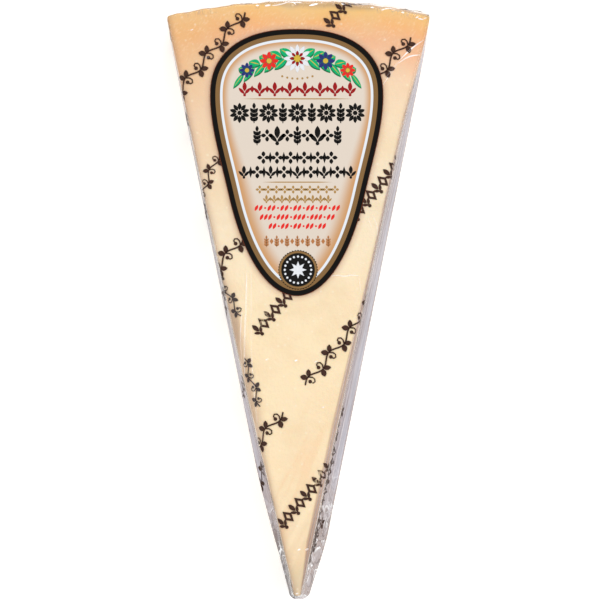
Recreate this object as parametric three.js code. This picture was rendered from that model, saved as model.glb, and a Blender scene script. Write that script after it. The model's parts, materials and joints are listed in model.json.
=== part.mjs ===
// A wedge of hard grating cheese, sealed in clear shrink film, with an egg-shaped paper label.
// It lies on its back: label up (+Z), rind towards +Y, tip towards -Y, in millimetres.
// The origin is on the surface that it lies on, under the middle of the wrapped wedge.

import * as THREE from "three";
import { mergeVertices } from "three/addons/utils/BufferGeometryUtils.js";

// ---- Driving dimensions (mm, degrees) ----

const WHEEL_RADIUS = 182.4; // from the middle of the cheese wheel to its rind
const WEDGE_ANGLE = 24.5; // between the two cut sides
const THICKNESS = 28.25; // of the wrapped wedge, from its back to its front face
const TIP_RADIUS = 1.4; // the blunt point, seen from above
const CORNER_RADIUS = 1.4; // where a cut side meets the rind, seen from above
const EDGE_ROUND = 0.8; // rounding of the long edges under the film

const WORN_EDGE = 2.0; // extra rounding of the left edge, at its most worn place
const WORN_FROM = 75; // distance from the rind where that wear starts
const WORN_TO = 150; // and where it ends

// The film's side seams stand out from the cut sides, halfway up, like a narrow flange.
const SEAM_LEFT = { start: 0.3, peak: 2.7, peakAt: 138, end: 0.8 };
const SEAM_RIGHT = { start: 1.5, peak: 4.0, peakAt: 158, end: 2.4 };
const SEAM_TIP = 1.6; // how far the film runs on past the blunt point
const RIND_SLACK = 0.9; // how far the film stands off the rind, at its right end
const SEAM_SHARPNESS = 2; // 1 is a straight tent from edge to seam, more is a thinner flange
const SEAM_WANDER = 0.9; // how far the seam line strays up and down

const CRUMPLE = 0.17; // height of the film's small folds
const CRUMPLE_FROM = 118; // distance from the rind where the seams start to crumple
const CRUMPLE_LENGTH = 46; // distance over which that crumpling grows to its full height

const LABEL_LENGTH = 79.2;
const LABEL_WIDTH = 50.8;
const LABEL_THICKNESS = 0.25;
const LABEL_SHOULDER = 19.9; // from the label's top to its widest place
const LABEL_FROM_RIND = 8.7; // gap between the rind and the label's top, on the middle line
const LABEL_TOP_POWER = 2.35; // 2 is an ellipse, more is squarer
const LABEL_PINCH = 0.095; // how much slimmer than an ellipse the lower part is

// Steps of the surface
const SIDE_STEPS = 46;
const RIND_STEPS = 26;
const CORNER_STEPS = 4;
const TIP_STEPS = 10;
const EDGE_STEPS = 3;
const WALL_STEPS = 8;
const LABEL_STEPS = 40; // down each side of the label

const HALF_ANGLE = THREE.MathUtils.degToRad(WEDGE_ANGLE / 2);
const { lerp, smoothstep } = THREE.MathUtils;

// ---- Materials ----

const wrappedCheese = new THREE.MeshStandardMaterial({ color: 0xf6dfb9, roughness: 0.28, metalness: 0 });
const labelPaper = new THREE.MeshStandardMaterial({ color: 0xe6dacc, roughness: 0.35, metalness: 0 });

// ---- The wrapped wedge ----

// How far a side seam stands out, at a distance from the rind.
function seamWidth({ start, peak, peakAt, end }, fromRind) {
  if (fromRind < peakAt) return lerp(start, peak, fromRind / peakAt);
  return lerp(peak, end, smoothstep(fromRind, peakAt, WHEEL_RADIUS));
}

// Small folds of the film along an edge: three waves that share no common length.
function folds(distance) {
  const wave = (length, phase) => Math.sin((2 * Math.PI * distance) / length + phase);
  return wave(13.7, 0.4) + 0.7 * wave(7.9, 1.9) + 0.5 * wave(4.3, 4.1);
}

// A place on the outline of the cheese, seen from above: a point on a round of a given radius and
// centre, with its outward normal, how far the film's seam stands out there and how round the edge is.
function station(centre, radius, angle, seam, edge = EDGE_ROUND) {
  const normal = new THREE.Vector2(Math.cos(angle), Math.sin(angle));
  return { point: centre.clone().addScaledVector(normal, radius), normal, seam, edge, wander: 0 };
}

// One cut side, from the tip to the rind. The wheel's middle is at (0, 0) and the wedge is along +Y.
function cutSide(direction, seamShape, wear) {
  const list = [];
  const angle = direction > 0 ? -HALF_ANGLE : Math.PI + HALF_ANGLE;
  const nearest = TIP_RADIUS / Math.tan(HALF_ANGLE);
  const furthest = Math.sqrt((WHEEL_RADIUS - CORNER_RADIUS) ** 2 - CORNER_RADIUS ** 2);
  for (let i = 0; i <= SIDE_STEPS; i++) {
    const along = lerp(nearest, furthest, i / SIDE_STEPS);
    const fromRind = WHEEL_RADIUS - along;
    const crumple = CRUMPLE * smoothstep(fromRind, CRUMPLE_FROM, CRUMPLE_FROM + CRUMPLE_LENGTH);
    const seam = seamWidth(seamShape, fromRind) + crumple * folds(fromRind * direction);
    const middle = (WORN_FROM + WORN_TO) / 2;
    const reach = Math.max(0, 1 - Math.abs(fromRind - middle) / (middle - WORN_FROM));
    const edge = EDGE_ROUND + wear * smoothstep(reach, 0, 1);
    const onSide = new THREE.Vector2(direction * Math.sin(HALF_ANGLE), Math.cos(HALF_ANGLE));
    const place = station(onSide.multiplyScalar(along), 0, angle, seam, edge);
    place.wander = SEAM_WANDER * Math.sin(fromRind / 17 + direction);
    list.push(place);
  }
  return list;
}

// The outline of the cheese, counterclockwise: right side, rind, left side, tip.
function outline() {
  const cornerTurn = Math.asin(CORNER_RADIUS / (WHEEL_RADIUS - CORNER_RADIUS));
  const rindHalf = HALF_ANGLE - cornerTurn;
  const middle = new THREE.Vector2(0, 0);
  const right = cutSide(1, SEAM_RIGHT, 0);
  const left = cutSide(-1, SEAM_LEFT, WORN_EDGE).reverse();

  const corner = (direction) => {
    const list = [];
    const reach = WHEEL_RADIUS - CORNER_RADIUS;
    const centre = new THREE.Vector2(direction * Math.sin(rindHalf), Math.cos(rindHalf)).multiplyScalar(reach);
    const start = direction > 0 ? -HALF_ANGLE : Math.PI / 2 + rindHalf;
    const end = direction > 0 ? Math.PI / 2 - rindHalf : Math.PI + HALF_ANGLE;
    for (let i = 1; i < CORNER_STEPS; i++) {
      const turn = i / CORNER_STEPS;
      const seam = direction > 0 ? lerp(SEAM_RIGHT.start, RIND_SLACK, turn) : SEAM_LEFT.start * turn;
      list.push(station(centre, CORNER_RADIUS, lerp(start, end, turn), seam));
    }
    return list;
  };

  const rind = [];
  for (let i = 0; i <= RIND_STEPS; i++) {
    const angle = lerp(Math.PI / 2 - rindHalf, Math.PI / 2 + rindHalf, i / RIND_STEPS);
    const slack = RIND_SLACK * smoothstep(RIND_STEPS - i, 0, RIND_STEPS);
    const crumple = CRUMPLE * Math.abs(folds(angle * WHEEL_RADIUS)) * Math.sin((Math.PI * i) / RIND_STEPS);
    rind.push(station(middle, WHEEL_RADIUS, angle, slack + crumple));
  }

  const tip = [];
  const tipCentre = new THREE.Vector2(0, TIP_RADIUS / Math.sin(HALF_ANGLE));
  for (let i = 1; i < TIP_STEPS; i++) {
    const turn = i / TIP_STEPS;
    const angle = lerp(Math.PI + HALF_ANGLE, 2 * Math.PI - HALF_ANGLE, turn);
    const sideSeam = lerp(left.at(-1).seam, right[0].seam, turn);
    const seam = lerp(sideSeam, SEAM_TIP, Math.sin(Math.PI * turn));
    tip.push(station(tipCentre, TIP_RADIUS, angle, seam));
  }
  return [...right, ...corner(1), ...rind, ...corner(-1), ...left, ...tip];
}

// The rings of the wedge from its back to its front: a rounded edge, the wall with the film's
// seam standing out in the middle, and the other rounded edge.
function ringHeights() {
  const rings = [];
  for (let i = 0; i <= EDGE_STEPS; i++) {
    const turn = (Math.PI / 2) * (i / EDGE_STEPS);
    rings.push({ base: 0, rise: 1 - Math.cos(turn), inset: 1 - Math.sin(turn), seam: 0 });
  }
  for (let i = 1; i < WALL_STEPS; i++) {
    const up = i / WALL_STEPS;
    const seam = (1 - Math.abs(2 * up - 1)) ** SEAM_SHARPNESS;
    rings.push({ base: up, rise: lerp(1, -1, up), inset: 0, seam });
  }
  for (let i = EDGE_STEPS; i >= 0; i--) {
    const turn = (Math.PI / 2) * (i / EDGE_STEPS);
    rings.push({ base: 1, rise: Math.cos(turn) - 1, inset: 1 - Math.sin(turn), seam: 0 });
  }
  return rings;
}

function ringPoint(place, ring) {
  const out = place.seam * ring.seam - place.edge * ring.inset;
  const { x, y } = place.point.clone().addScaledVector(place.normal, out);
  const z = THICKNESS * ring.base + place.edge * ring.rise + place.wander * ring.seam;
  return new THREE.Vector3(x, y, z);
}

// A closed solid from rings of equal length: walls between them and a flat cap at each end.
function loft(rings) {
  const count = rings[0].length;
  const corners = rings.flat().flatMap((p) => p.toArray());
  const faces = [];
  for (let r = 0; r + 1 < rings.length; r++) {
    for (let i = 0; i < count; i++) {
      const [a, b] = [r * count + i, r * count + ((i + 1) % count)];
      faces.push(a, b, b + count, a, b + count, a + count);
    }
  }
  const last = (rings.length - 1) * count;
  const flat = (ring) => ring.map((p) => new THREE.Vector2(p.x, p.y));
  for (const [a, b, c] of THREE.ShapeUtils.triangulateShape(flat(rings[0]), [])) faces.push(c, b, a);
  for (const [a, b, c] of THREE.ShapeUtils.triangulateShape(flat(rings.at(-1)), [])) {
    faces.push(last + a, last + b, last + c);
  }
  const geometry = new THREE.BufferGeometry();
  geometry.setAttribute("position", new THREE.Float32BufferAttribute(corners, 3));
  geometry.setIndex(faces);
  return geometry;
}

function wrappedWedge() {
  const places = outline();
  const rings = ringHeights().map((ring) => places.map((place) => ringPoint(place, ring)));
  const mesh = new THREE.Mesh(loft(rings), wrappedCheese);
  mesh.name = "wrapped_wedge";
  return mesh;
}

// ---- The label ----

// Half the label's width, at a distance below its top.
function labelHalfWidth(fromTop) {
  if (fromTop < LABEL_SHOULDER) {
    const up = 1 - fromTop / LABEL_SHOULDER;
    return (LABEL_WIDTH / 2) * (1 - up ** LABEL_TOP_POWER) ** (1 / LABEL_TOP_POWER);
  }
  const down = (fromTop - LABEL_SHOULDER) / (LABEL_LENGTH - LABEL_SHOULDER);
  const pinch = 1 - LABEL_PINCH * smoothstep(down, 0, 0.5);
  return (LABEL_WIDTH / 2) * Math.sqrt(Math.max(0, 1 - down ** 2)) * pinch;
}

function frontLabel() {
  const top = WHEEL_RADIUS - LABEL_FROM_RIND;
  const down = [];
  for (let i = 0; i <= LABEL_STEPS; i++) {
    const fromTop = (LABEL_LENGTH * (1 - Math.cos((Math.PI * i) / LABEL_STEPS))) / 2;
    down.push(new THREE.Vector2(-labelHalfWidth(fromTop), top - fromTop));
  }
  const up = down.slice(1, -1).reverse().map((p) => new THREE.Vector2(-p.x, p.y));
  const shape = new THREE.Shape([...down, ...up]);
  const geometry = new THREE.ExtrudeGeometry(shape, { depth: LABEL_THICKNESS, bevelEnabled: false });
  geometry.deleteAttribute("normal");
  geometry.deleteAttribute("uv");
  const mesh = new THREE.Mesh(mergeVertices(geometry), labelPaper);
  mesh.name = "front_label";
  mesh.position.z = THICKNESS;
  return mesh;
}

// ---- The whole, moved so that the origin is under its middle ----

const pack = new THREE.Group();
const wedge = wrappedWedge();
pack.add(wedge, frontLabel());
wedge.geometry.computeBoundingBox();
const middle = wedge.geometry.boundingBox.getCenter(new THREE.Vector3());
pack.position.set(-middle.x, -middle.y, 0);

export default pack;
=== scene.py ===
# %% [markdown]
# # A wedge of hard cheese in shrink film
#
# This lesson dresses a plain model of a packed cheese wedge: the cheese itself, the clear film that
# is shrunk round it with its seams, the pattern printed on that film, and an egg-shaped paper label.
# The plain solids come first, as the frame. They say where everything is, in metres, and every piece
# below is worked out from them and from a few named sizes.

# %% Load the frame
import json
import math

import bmesh
import bpy
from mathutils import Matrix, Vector
from mathutils.kdtree import KDTree

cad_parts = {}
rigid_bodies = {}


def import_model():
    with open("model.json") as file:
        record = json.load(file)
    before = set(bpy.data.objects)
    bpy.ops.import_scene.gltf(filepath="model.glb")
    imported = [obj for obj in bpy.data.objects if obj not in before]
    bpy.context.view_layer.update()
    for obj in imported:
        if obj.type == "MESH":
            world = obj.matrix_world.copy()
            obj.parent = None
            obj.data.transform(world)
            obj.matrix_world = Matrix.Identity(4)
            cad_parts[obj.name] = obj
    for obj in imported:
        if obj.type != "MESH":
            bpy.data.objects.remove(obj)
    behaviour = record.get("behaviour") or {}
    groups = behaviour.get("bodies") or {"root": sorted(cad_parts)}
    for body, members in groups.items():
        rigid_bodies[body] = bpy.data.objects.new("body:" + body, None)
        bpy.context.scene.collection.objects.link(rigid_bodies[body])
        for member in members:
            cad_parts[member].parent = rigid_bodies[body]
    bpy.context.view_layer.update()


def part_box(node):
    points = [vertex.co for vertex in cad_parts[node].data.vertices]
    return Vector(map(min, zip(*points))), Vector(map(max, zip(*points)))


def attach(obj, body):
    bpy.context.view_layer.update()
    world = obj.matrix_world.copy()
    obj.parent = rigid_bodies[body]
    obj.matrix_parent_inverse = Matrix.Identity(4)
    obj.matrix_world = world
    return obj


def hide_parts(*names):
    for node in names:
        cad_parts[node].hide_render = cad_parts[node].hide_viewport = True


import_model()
MM = 0.001

label_low, label_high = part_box("front_label")
WHEEL_RADIUS = 182.4 * MM
HALF_ANGLE = math.radians(24.5 / 2)
LABEL_FROM_RIND = 8.7 * MM
AXIS_X = (label_low.x + label_high.x) / 2
WHEEL_Y = label_high.y + LABEL_FROM_RIND - WHEEL_RADIUS
THICKNESS = label_low.z
print("middle of the cheese wheel at", round(AXIS_X, 4), round(WHEEL_Y, 4), "thickness", round(THICKNESS, 4))

# %% [markdown]
# ## A short way to write nodes
#
# Both the shapes and the finishes below are node trees. Adding each node by hand makes long code, so
# two small classes do it. `Wire` stands for one output of a node and understands + - * / and abs, so
# a sum reads like a sum. `Graph` adds any node at all: its settings first, then a value or a wire for
# each socket that is named. The steps that come back most often have short names of their own.


# %% Wires
class Wire:
    """One output of a node, with Python's arithmetic for single numbers."""

    def __init__(self, graph, socket):
        self.graph = graph
        self.socket = socket

    def named(self, name):
        """Another output of the same node."""
        return Wire(self.graph, pick(self.socket.node.outputs, name))

    def __add__(self, other):
        return self.graph.math("ADD", self, other)

    def __radd__(self, other):
        return self.graph.math("ADD", other, self)

    def __sub__(self, other):
        return self.graph.math("SUBTRACT", self, other)

    def __rsub__(self, other):
        return self.graph.math("SUBTRACT", other, self)

    def __mul__(self, other):
        return self.graph.math("MULTIPLY", self, other)

    def __rmul__(self, other):
        return self.graph.math("MULTIPLY", other, self)

    def __truediv__(self, other):
        return self.graph.math("DIVIDE", self, other)

    def __pow__(self, other):
        return self.graph.math("POWER", self, other)

    def __abs__(self):
        return self.graph.math("ABSOLUTE", self)


def pick(sockets, key):
    """A socket by its place, or by its name among those that the node's settings leave in use."""
    if isinstance(key, int):
        return sockets[key]
    return next(socket for socket in sockets if socket.enabled and socket.name == key)


# %% Graphs
class Graph:
    """A node tree that is being built."""

    def __init__(self, tree):
        self.tree = tree

    def add(self, kind, settings=None, inputs=None, output=0):
        """Adds a node of any kind and gives one of its outputs."""
        node = self.tree.nodes.new(kind)
        for name, value in (settings or {}).items():
            if name == "stops":
                self.set_stops(node.color_ramp, value)
            else:
                setattr(node, name, value)
        for key, value in (inputs or {}).items():
            socket = pick(node.inputs, key)
            if isinstance(value, Wire):
                self.tree.links.new(value.socket, socket)
            elif socket.type == "RGBA":
                socket.default_value = (*value, 1)
            else:
                socket.default_value = value
        return Wire(self, pick(node.outputs, output)) if node.outputs else None

    def set_stops(self, ramp, stops):
        """Gives a colour ramp its stops, each a place from 0 to 1 and a colour."""
        while len(ramp.elements) > 1:
            ramp.elements.remove(ramp.elements[-1])
        ramp.elements[0].position = stops[0][0]
        ramp.elements[0].color = (*stops[0][1], 1)
        for place, colour in stops[1:]:
            ramp.elements.new(place).color = (*colour, 1)

    def math(self, operation, *values):
        """One step of arithmetic."""
        return self.add("ShaderNodeMath", {"operation": operation}, dict(enumerate(values)))

    def most(self, first, second):
        """The larger of two numbers."""
        return self.math("MAXIMUM", first, second)

    def least(self, first, second):
        """The smaller of two numbers."""
        return self.math("MINIMUM", first, second)

    def sine(self, angle):
        return self.math("SINE", angle)

    def cosine(self, angle):
        return self.math("COSINE", angle)

    def vector(self, operation, *values, output=0):
        """One step of arithmetic on vectors."""
        return self.add("ShaderNodeVectorMath", {"operation": operation}, dict(enumerate(values)), output)

    def xyz(self, x=0.0, y=0.0, z=0.0):
        """Three numbers as a vector."""
        return self.add("ShaderNodeCombineXYZ", {}, {"X": x, "Y": y, "Z": z})

    def part(self, vector, axis):
        """One of a vector's three numbers."""
        return self.add("ShaderNodeSeparateXYZ", {}, {0: vector}, axis)

    def between(self, value, low, high, to_low=0.0, to_high=1.0, smooth=False):
        """Follows a value from one range to another, and stops at its ends."""
        kind = "SMOOTHSTEP" if smooth else "LINEAR"
        ends = {"Value": value, "From Min": low, "From Max": high, "To Min": to_low, "To Max": to_high}
        return self.add("ShaderNodeMapRange", {"interpolation_type": kind}, ends, "Result")

    def fade(self, value, start, end):
        """0 where a value is at its start, 1 at its end and beyond, with a soft change between them."""
        return self.between(value, start, end, smooth=True)

    def mix(self, factor, first, second, kind="MIX"):
        """Blends two colours."""
        ends = {"Factor": factor, "A": first, "B": second}
        return self.add("ShaderNodeMix", {"data_type": "RGBA", "blend_type": kind}, ends, "Result")

    def ramp(self, value, stops):
        """The colour that a ramp has at a value."""
        return self.add("ShaderNodeValToRGB", {"stops": stops}, {"Fac": value}, "Color")

    def noise(self, place, scale, detail=2.0, roughness=0.5, distortion=0.0):
        """Soft cloudy noise."""
        values = {"Vector": place, "Scale": scale, "Detail": detail}
        values.update({"Roughness": roughness, "Distortion": distortion})
        return self.add("ShaderNodeTexNoise", {}, values, "Fac")

    def drawn_out(self, place, scale, *shape):
        """Noise that is stretched by a scale of its own in each direction."""
        return self.noise(self.vector("MULTIPLY", place, scale), *shape)


# %% [markdown]
# A geometry tree starts with its named sizes and ends by making everything real and giving it a
# material. `made_by` runs a tree with a set of sizes and keeps the result as a plain mesh, with its
# object at the origin. Numbers that a mesh carries on its points, such as a distance from an edge,
# are how a shape hands something to the next tree or to a finish.

# %% Starting and ending a geometry tree
SOCKET_KINDS = {float: "NodeSocketFloat", int: "NodeSocketInt"}


def start_tree(name, sizes):
    """A new geometry tree with named inputs. A size is a default value or a kind of socket."""
    tree = bpy.data.node_groups.new(name, "GeometryNodeTree")
    for label, default in sizes.items():
        kind = SOCKET_KINDS.get(type(default), default)
        socket = tree.interface.new_socket(label, in_out="INPUT", socket_type=kind)
        if kind != default:
            socket.default_value = default
    tree.interface.new_socket("Geometry", in_out="OUTPUT", socket_type="NodeSocketGeometry")
    graph = Graph(tree)
    source = graph.add("NodeGroupInput")
    return graph, {label: source.named(label) for label in sizes}


def end_tree(graph, geometry, material):
    """Makes instances real, gives everything a material and hands it out."""
    real = graph.add("GeometryNodeRealizeInstances", {}, {"Geometry": geometry})
    painted = graph.add("GeometryNodeSetMaterial", {}, {"Geometry": real, "Material": material})
    graph.add("NodeGroupOutput", {}, {"Geometry": painted})
    return graph.tree


def stored(graph, name, kind="FLOAT"):
    """In a geometry tree, what the points carry under a name."""
    return graph.add("GeometryNodeInputNamedAttribute", {"data_type": kind}, {"Name": name}, "Attribute")


def store(graph, geometry, name, value, kind="FLOAT"):
    """The geometry with a value put on its points."""
    values = {"Geometry": geometry, "Name": name, "Value": value}
    return graph.add("GeometryNodeStoreNamedAttribute", {"data_type": kind}, values)


# %% Running a geometry tree
def new_object(name, mesh):
    """An object at the origin that shows a mesh."""
    piece = bpy.data.objects.new(name, mesh)
    bpy.context.scene.collection.objects.link(piece)
    return piece


def made_by(tree, name, values):
    """Runs a geometry tree and keeps what it makes as a plain mesh."""
    maker = new_object(name + "_maker", bpy.data.meshes.new(name + "_start"))
    step = maker.modifiers.new("make", "NODES")
    step.node_group = tree
    for item in tree.interface.items_tree:
        if item.in_out == "INPUT" and item.name in values:
            step[item.identifier] = values[item.name]
    depsgraph = bpy.context.evaluated_depsgraph_get()
    shaped = maker.evaluated_get(depsgraph)
    mesh = bpy.data.meshes.new_from_object(shaped, preserve_all_data_layers=True, depsgraph=depsgraph)
    maker.modifiers.remove(step)
    bpy.data.objects.remove(maker)
    mesh.name = name
    mesh.materials.clear()
    mesh.materials.append(values["Material"])
    mesh.polygons.foreach_set("material_index", [0] * len(mesh.polygons))
    print(name, "has", len(mesh.polygons), "faces")
    return new_object(name, mesh)


# %% [markdown]
# ## The finish of the cheese
#
# Hard cheese is pale straw in the middle and warmer towards the rind, where it has dried. One ramp
# over the distance from the rind carries that. On top come soft mottling, tiny pale crystals, short
# pale flecks in the dry zone and, at the very edge, the grey-brown line of the rind itself. The
# light enters the paste a little, so a touch of subsurface scattering keeps the edges soft.


# %% Tools for finishes
def new_material(name):
    """A material with an empty graph, and each point's place in the frame that all pieces share."""
    material = bpy.data.materials.new(name)
    material.use_nodes = True
    material.node_tree.nodes.clear()
    graph = Graph(material.node_tree)
    return material, graph, graph.add("ShaderNodeTexCoord", output="Object")


def end_material(graph, values):
    """Gives the one shader its values and sends it to the material's output."""
    shader = graph.add("ShaderNodeBsdfPrincipled", {}, values)
    graph.add("ShaderNodeOutputMaterial", {}, {"Surface": shader})


def carried(graph, name, output="Fac"):
    """In a material, a number or a vector that the mesh carries on its points."""
    return graph.add("ShaderNodeAttribute", {"attribute_name": name}, {}, output)


def bump(graph, height, strength, distance):
    """Normals that follow a height."""
    values = {"Strength": strength, "Distance": distance, "Height": height}
    return graph.add("ShaderNodeBump", {}, values, "Normal")


def near_front(graph, place, near, far):
    """1 on the front of the wedge and its rounded edge, fading to 0 between two depths below it (mm)."""
    return graph.fade(graph.part(place, "Z"), THICKNESS - far * MM, THICKNESS - near * MM)


# %% Colours of the cheese
DEPTH_COLOURS = [
    # distance from the rind as a share of the wheel's radius, colour
    (0.000, (0.56, 0.36, 0.16)),
    (0.006, (0.85, 0.53, 0.185)),
    (0.030, (0.87, 0.455, 0.175)),
    (0.055, (0.85, 0.44, 0.24)),
    (0.115, (0.88, 0.64, 0.43)),
    (0.190, (0.89, 0.71, 0.49)),
    (0.330, (0.90, 0.76, 0.55)),
    (0.540, (0.95, 0.765, 0.50)),
    (0.800, (0.945, 0.75, 0.49)),
    (0.900, (0.87, 0.68, 0.445)),
    (0.940, (0.77, 0.61, 0.385)),
    (1.000, (0.68, 0.56, 0.40)),
]
ZONE_WAVER = 12 * MM  # how far the zones of colour waver along the rind
# Tint on the left of the cheese near the rind: at the rind, and further in
LEFT_TINT_RIM, LEFT_TINT_INSIDE = (0.80, 0.44, 0.16), (0.80, 0.54, 0.35)
LABEL_SHADOW = (0.68, 0.42, 0.28)
MOTTLE = (0.80, 0.58, 0.33)
FLECK, CRYSTAL = (0.96, 0.72, 0.48), (0.97, 0.89, 0.72)
PALE_STRIPE, DEEP_STRIPE = (0.99, 0.80, 0.54), (0.91, 0.62, 0.36)
UNDER_FOLDS, BESIDE_CUT = (0.70, 0.48, 0.33), (0.64, 0.56, 0.56)
BARK_DARK, BARK_PALE, BARK_STAIN = (0.47, 0.25, 0.085), (0.64, 0.38, 0.155), (0.38, 0.20, 0.08)


def streaks(graph, place, angle, scale, *shape):
    """Noise that is drawn out at an angle."""
    values = {"Vector": place, "Angle": angle}
    turned = graph.add("ShaderNodeVectorRotate", {"rotation_type": "Z_AXIS"}, values)
    return graph.drawn_out(turned, scale, *shape)


def paste_colour(graph, place, depth, lean, mottle):
    """The cut cheese: drier at the rind, with a warmer, darker tint on the left near the rind, shaded by the
    label, mottled and streaked.
    """
    colour = graph.ramp(depth / WHEEL_RADIUS, DEPTH_COLOURS)
    on_left = graph.fade(lean, -0.06, -0.19) * graph.fade(depth, 0.070, 0.020)
    left_tint = graph.mix(graph.between(depth, 0.008, 0.030), LEFT_TINT_RIM, LEFT_TINT_INSIDE)
    colour = graph.mix(on_left * 0.65, colour, left_tint)
    under_label = graph.fade(carried(graph, "label_gap"), 2.2, 0.0)
    colour = graph.mix(under_label * 0.55, colour, LABEL_SHADOW)
    colour = graph.mix(graph.between(mottle, 0.42, 0.75, 0, 0.5), colour, MOTTLE)

    flecks = streaks(graph, place, 0.75, (2.6, 1, 1), 760, 3)
    dryness = graph.fade(depth, 0.001, 0.004) * graph.fade(depth, 0.020, 0.011)
    colour = graph.mix(graph.between(flecks, 0.54, 0.70) * dryness * 0.30, colour, FLECK)
    stripes = streaks(graph, place, 0.45, (1, 0.12, 1), 300, 2)
    pale = graph.between(stripes, 0.50, 0.64) * graph.between(depth, 0.135, 0.150)
    colour = graph.mix(pale * 0.5, colour, PALE_STRIPE)
    deep = graph.between(stripes, 0.47, 0.36) * graph.between(depth, 0.118, 0.135)
    deep = deep * graph.between(depth, 0.172, 0.160)
    return graph.mix(deep * 0.5, colour, DEEP_STRIPE)


def edge_tints(graph, place, depth, colour):
    """The cheese that the film shades: under its folds on the left, and at both of its cut edges."""
    near_edge = near_front(graph, place, 1.9, 4.2)
    from_left, from_right = carried(graph, "from_left"), carried(graph, "from_right")
    folds = graph.fade(from_left, 4.2 * MM, 1.6 * MM) * graph.between(depth, 0.074, 0.092)
    folds = folds * graph.between(depth, 0.136, 0.116) * near_edge
    colour = graph.mix(folds * 0.34, colour, UNDER_FOLDS)
    left = graph.between(from_left, 3.4 * MM, 0.2 * MM) ** 3
    right = graph.between(from_right, 1.5 * MM, 0.2 * MM, 0, 0.8) ** 1.5
    return graph.mix(graph.most(left, right) * near_edge, colour, BESIDE_CUT, "MULTIPLY")


# %% Cheese finish
def cheese_finish():
    material, graph, place = new_material("cheese_paste")
    from_middle = graph.vector("SUBTRACT", place, (AXIS_X, WHEEL_Y, 0))
    radius = graph.vector("LENGTH", graph.vector("MULTIPLY", from_middle, (1, 1, 0)), output="Value")
    depth = WHEEL_RADIUS - radius + (graph.noise(place, 28, 3) - 0.5) * ZONE_WAVER
    mottle = graph.noise(place, 85, 5, 0.6)
    colour = paste_colour(graph, place, depth, graph.part(from_middle, "X") / radius, mottle)
    colour = edge_tints(graph, place, depth, colour)

    bark = graph.drawn_out(place, (1, 1, 3.5), 240, 4, 0.6)
    crust = graph.mix(graph.between(bark, 0.35, 0.65), BARK_DARK, BARK_PALE)
    crust = graph.mix(graph.between(mottle, 0.50, 0.68) * 0.5, crust, BARK_STAIN)
    on_rind = graph.fade(carried(graph, "rind"), 0.55, 0.97)
    colour = graph.mix(on_rind * 0.9, colour, crust)
    crystals = graph.add("ShaderNodeTexVoronoi", {}, {"Vector": place, "Scale": 330}, "Distance")
    colour = graph.mix(graph.between(crystals, 0.16, 0.05) * 0.35, colour, CRYSTAL)

    grain = graph.noise(place, 900, 4, 0.65)
    values = {
        "Base Color": colour,
        "Roughness": graph.between(grain, 0.3, 0.7, 0.42, 0.62),
        "Normal": bump(graph, grain + mottle * 0.8 + bark * on_rind * 2, 0.35, 0.6 * MM),
        "Subsurface Weight": 0.12,
        "Subsurface Radius": (1.0, 0.55, 0.25),
        "Subsurface Scale": 4 * MM,
        "Specular IOR Level": 0.35,
    }
    end_material(graph, values)
    return material


cheese_paste = cheese_finish()
print("finish:", cheese_paste.name)

# %% [markdown]
# ## One rule for the wedge
#
# A wedge is a slice of a wheel: it runs straight along the radius, turns by an angle across and has
# one thickness. So a plain cube of quads can be bent into it by a rule, and Geometry Nodes suit that
# well: the cube's x becomes an angle, its y a distance from the wheel's middle and its z a height.
# The outermost rows of the cube become the rounded edges. One tree makes both the cheese and the
# film round it. The film only asks for more: seams that stand out halfway up the sides, a little
# slack, and small folds.

# %% Sizes of the wedge
WEDGE_SIZES = {
    "Across": 96,
    "Along": 300,
    "Up": 40,
    "Edge Rows": 5,
    "Wheel Radius": WHEEL_RADIUS,
    "Half Angle": HALF_ANGLE,
    "Tip Radius": 5.0 * MM,
    "Thickness": THICKNESS,
    "Clearance": 0.0,
    "Edge Round": 0.8 * MM,
    "Left Wear Across": 0.0,
    "Left Wear Down": 0.0,
    "Left Wear Middle": 112.5 * MM,
    "Left Wear Reach": 42.0 * MM,
    "Right Wear": 0.0,
    "Right Wear Middle": 122.0 * MM,
    "Right Wear Reach": 60.0 * MM,
    "Left Start": 0.0,
    "Left Peak": 0.0,
    "Left Peak At": 138 * MM,
    "Left End": 0.0,
    "Right Start": 0.0,
    "Right Peak": 0.0,
    "Right Peak At": 158 * MM,
    "Right End": 0.0,
    "Tip Seam": 0.0,
    "Rind Slack": 0.0,
    "Left Bulge": 0.0,
    "Right Bulge": 0.0,
    "Left Flare": 0.9 * MM,
    "Right Flare": 1.05 * MM,
    "Belly": 0.0,
    "Seam Sharpness": 5.0,
    "Seam Wander": 0.0,
    "Rind Wave": 0.0,
    "Relief": 0.0,
    "Relief Scale": 60.0,
    "Folds": 0.0,
    "Seed": 1.0,
    "Material": "NodeSocketMaterial",
}


# %% The cube, its edges and its cuts
def cube_to_rows(graph, size):
    """A cube of quads, read as a place inside the edges (-1 to 1) and a direction outwards."""
    across, along, up = size["Across"], size["Along"], size["Up"]
    counts = {"Size": (2, 2, 2), "Vertices X": across, "Vertices Y": along, "Vertices Z": up}
    cube = graph.add("GeometryNodeMeshCube", {}, counts, "Mesh")
    at = graph.add("GeometryNodeInputPosition")
    edge = graph.xyz(*(2 * size["Edge Rows"] / (count - 1) for count in (across, along, up)))
    flat_part = graph.vector("SUBTRACT", (1, 1, 1), edge)
    inside = graph.vector("DIVIDE", at, flat_part)
    inside = graph.vector("MAXIMUM", graph.vector("MINIMUM", inside, (1, 1, 1)), (-1, -1, -1))
    beyond = graph.vector("SUBTRACT", graph.vector("ABSOLUTE", at), flat_part)
    beyond = graph.vector("MAXIMUM", graph.vector("DIVIDE", beyond, edge), (0, 0, 0))
    outwards = graph.vector("MULTIPLY", beyond, graph.vector("SIGN", at))
    return cube, inside, graph.vector("NORMALIZE", outwards)


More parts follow.
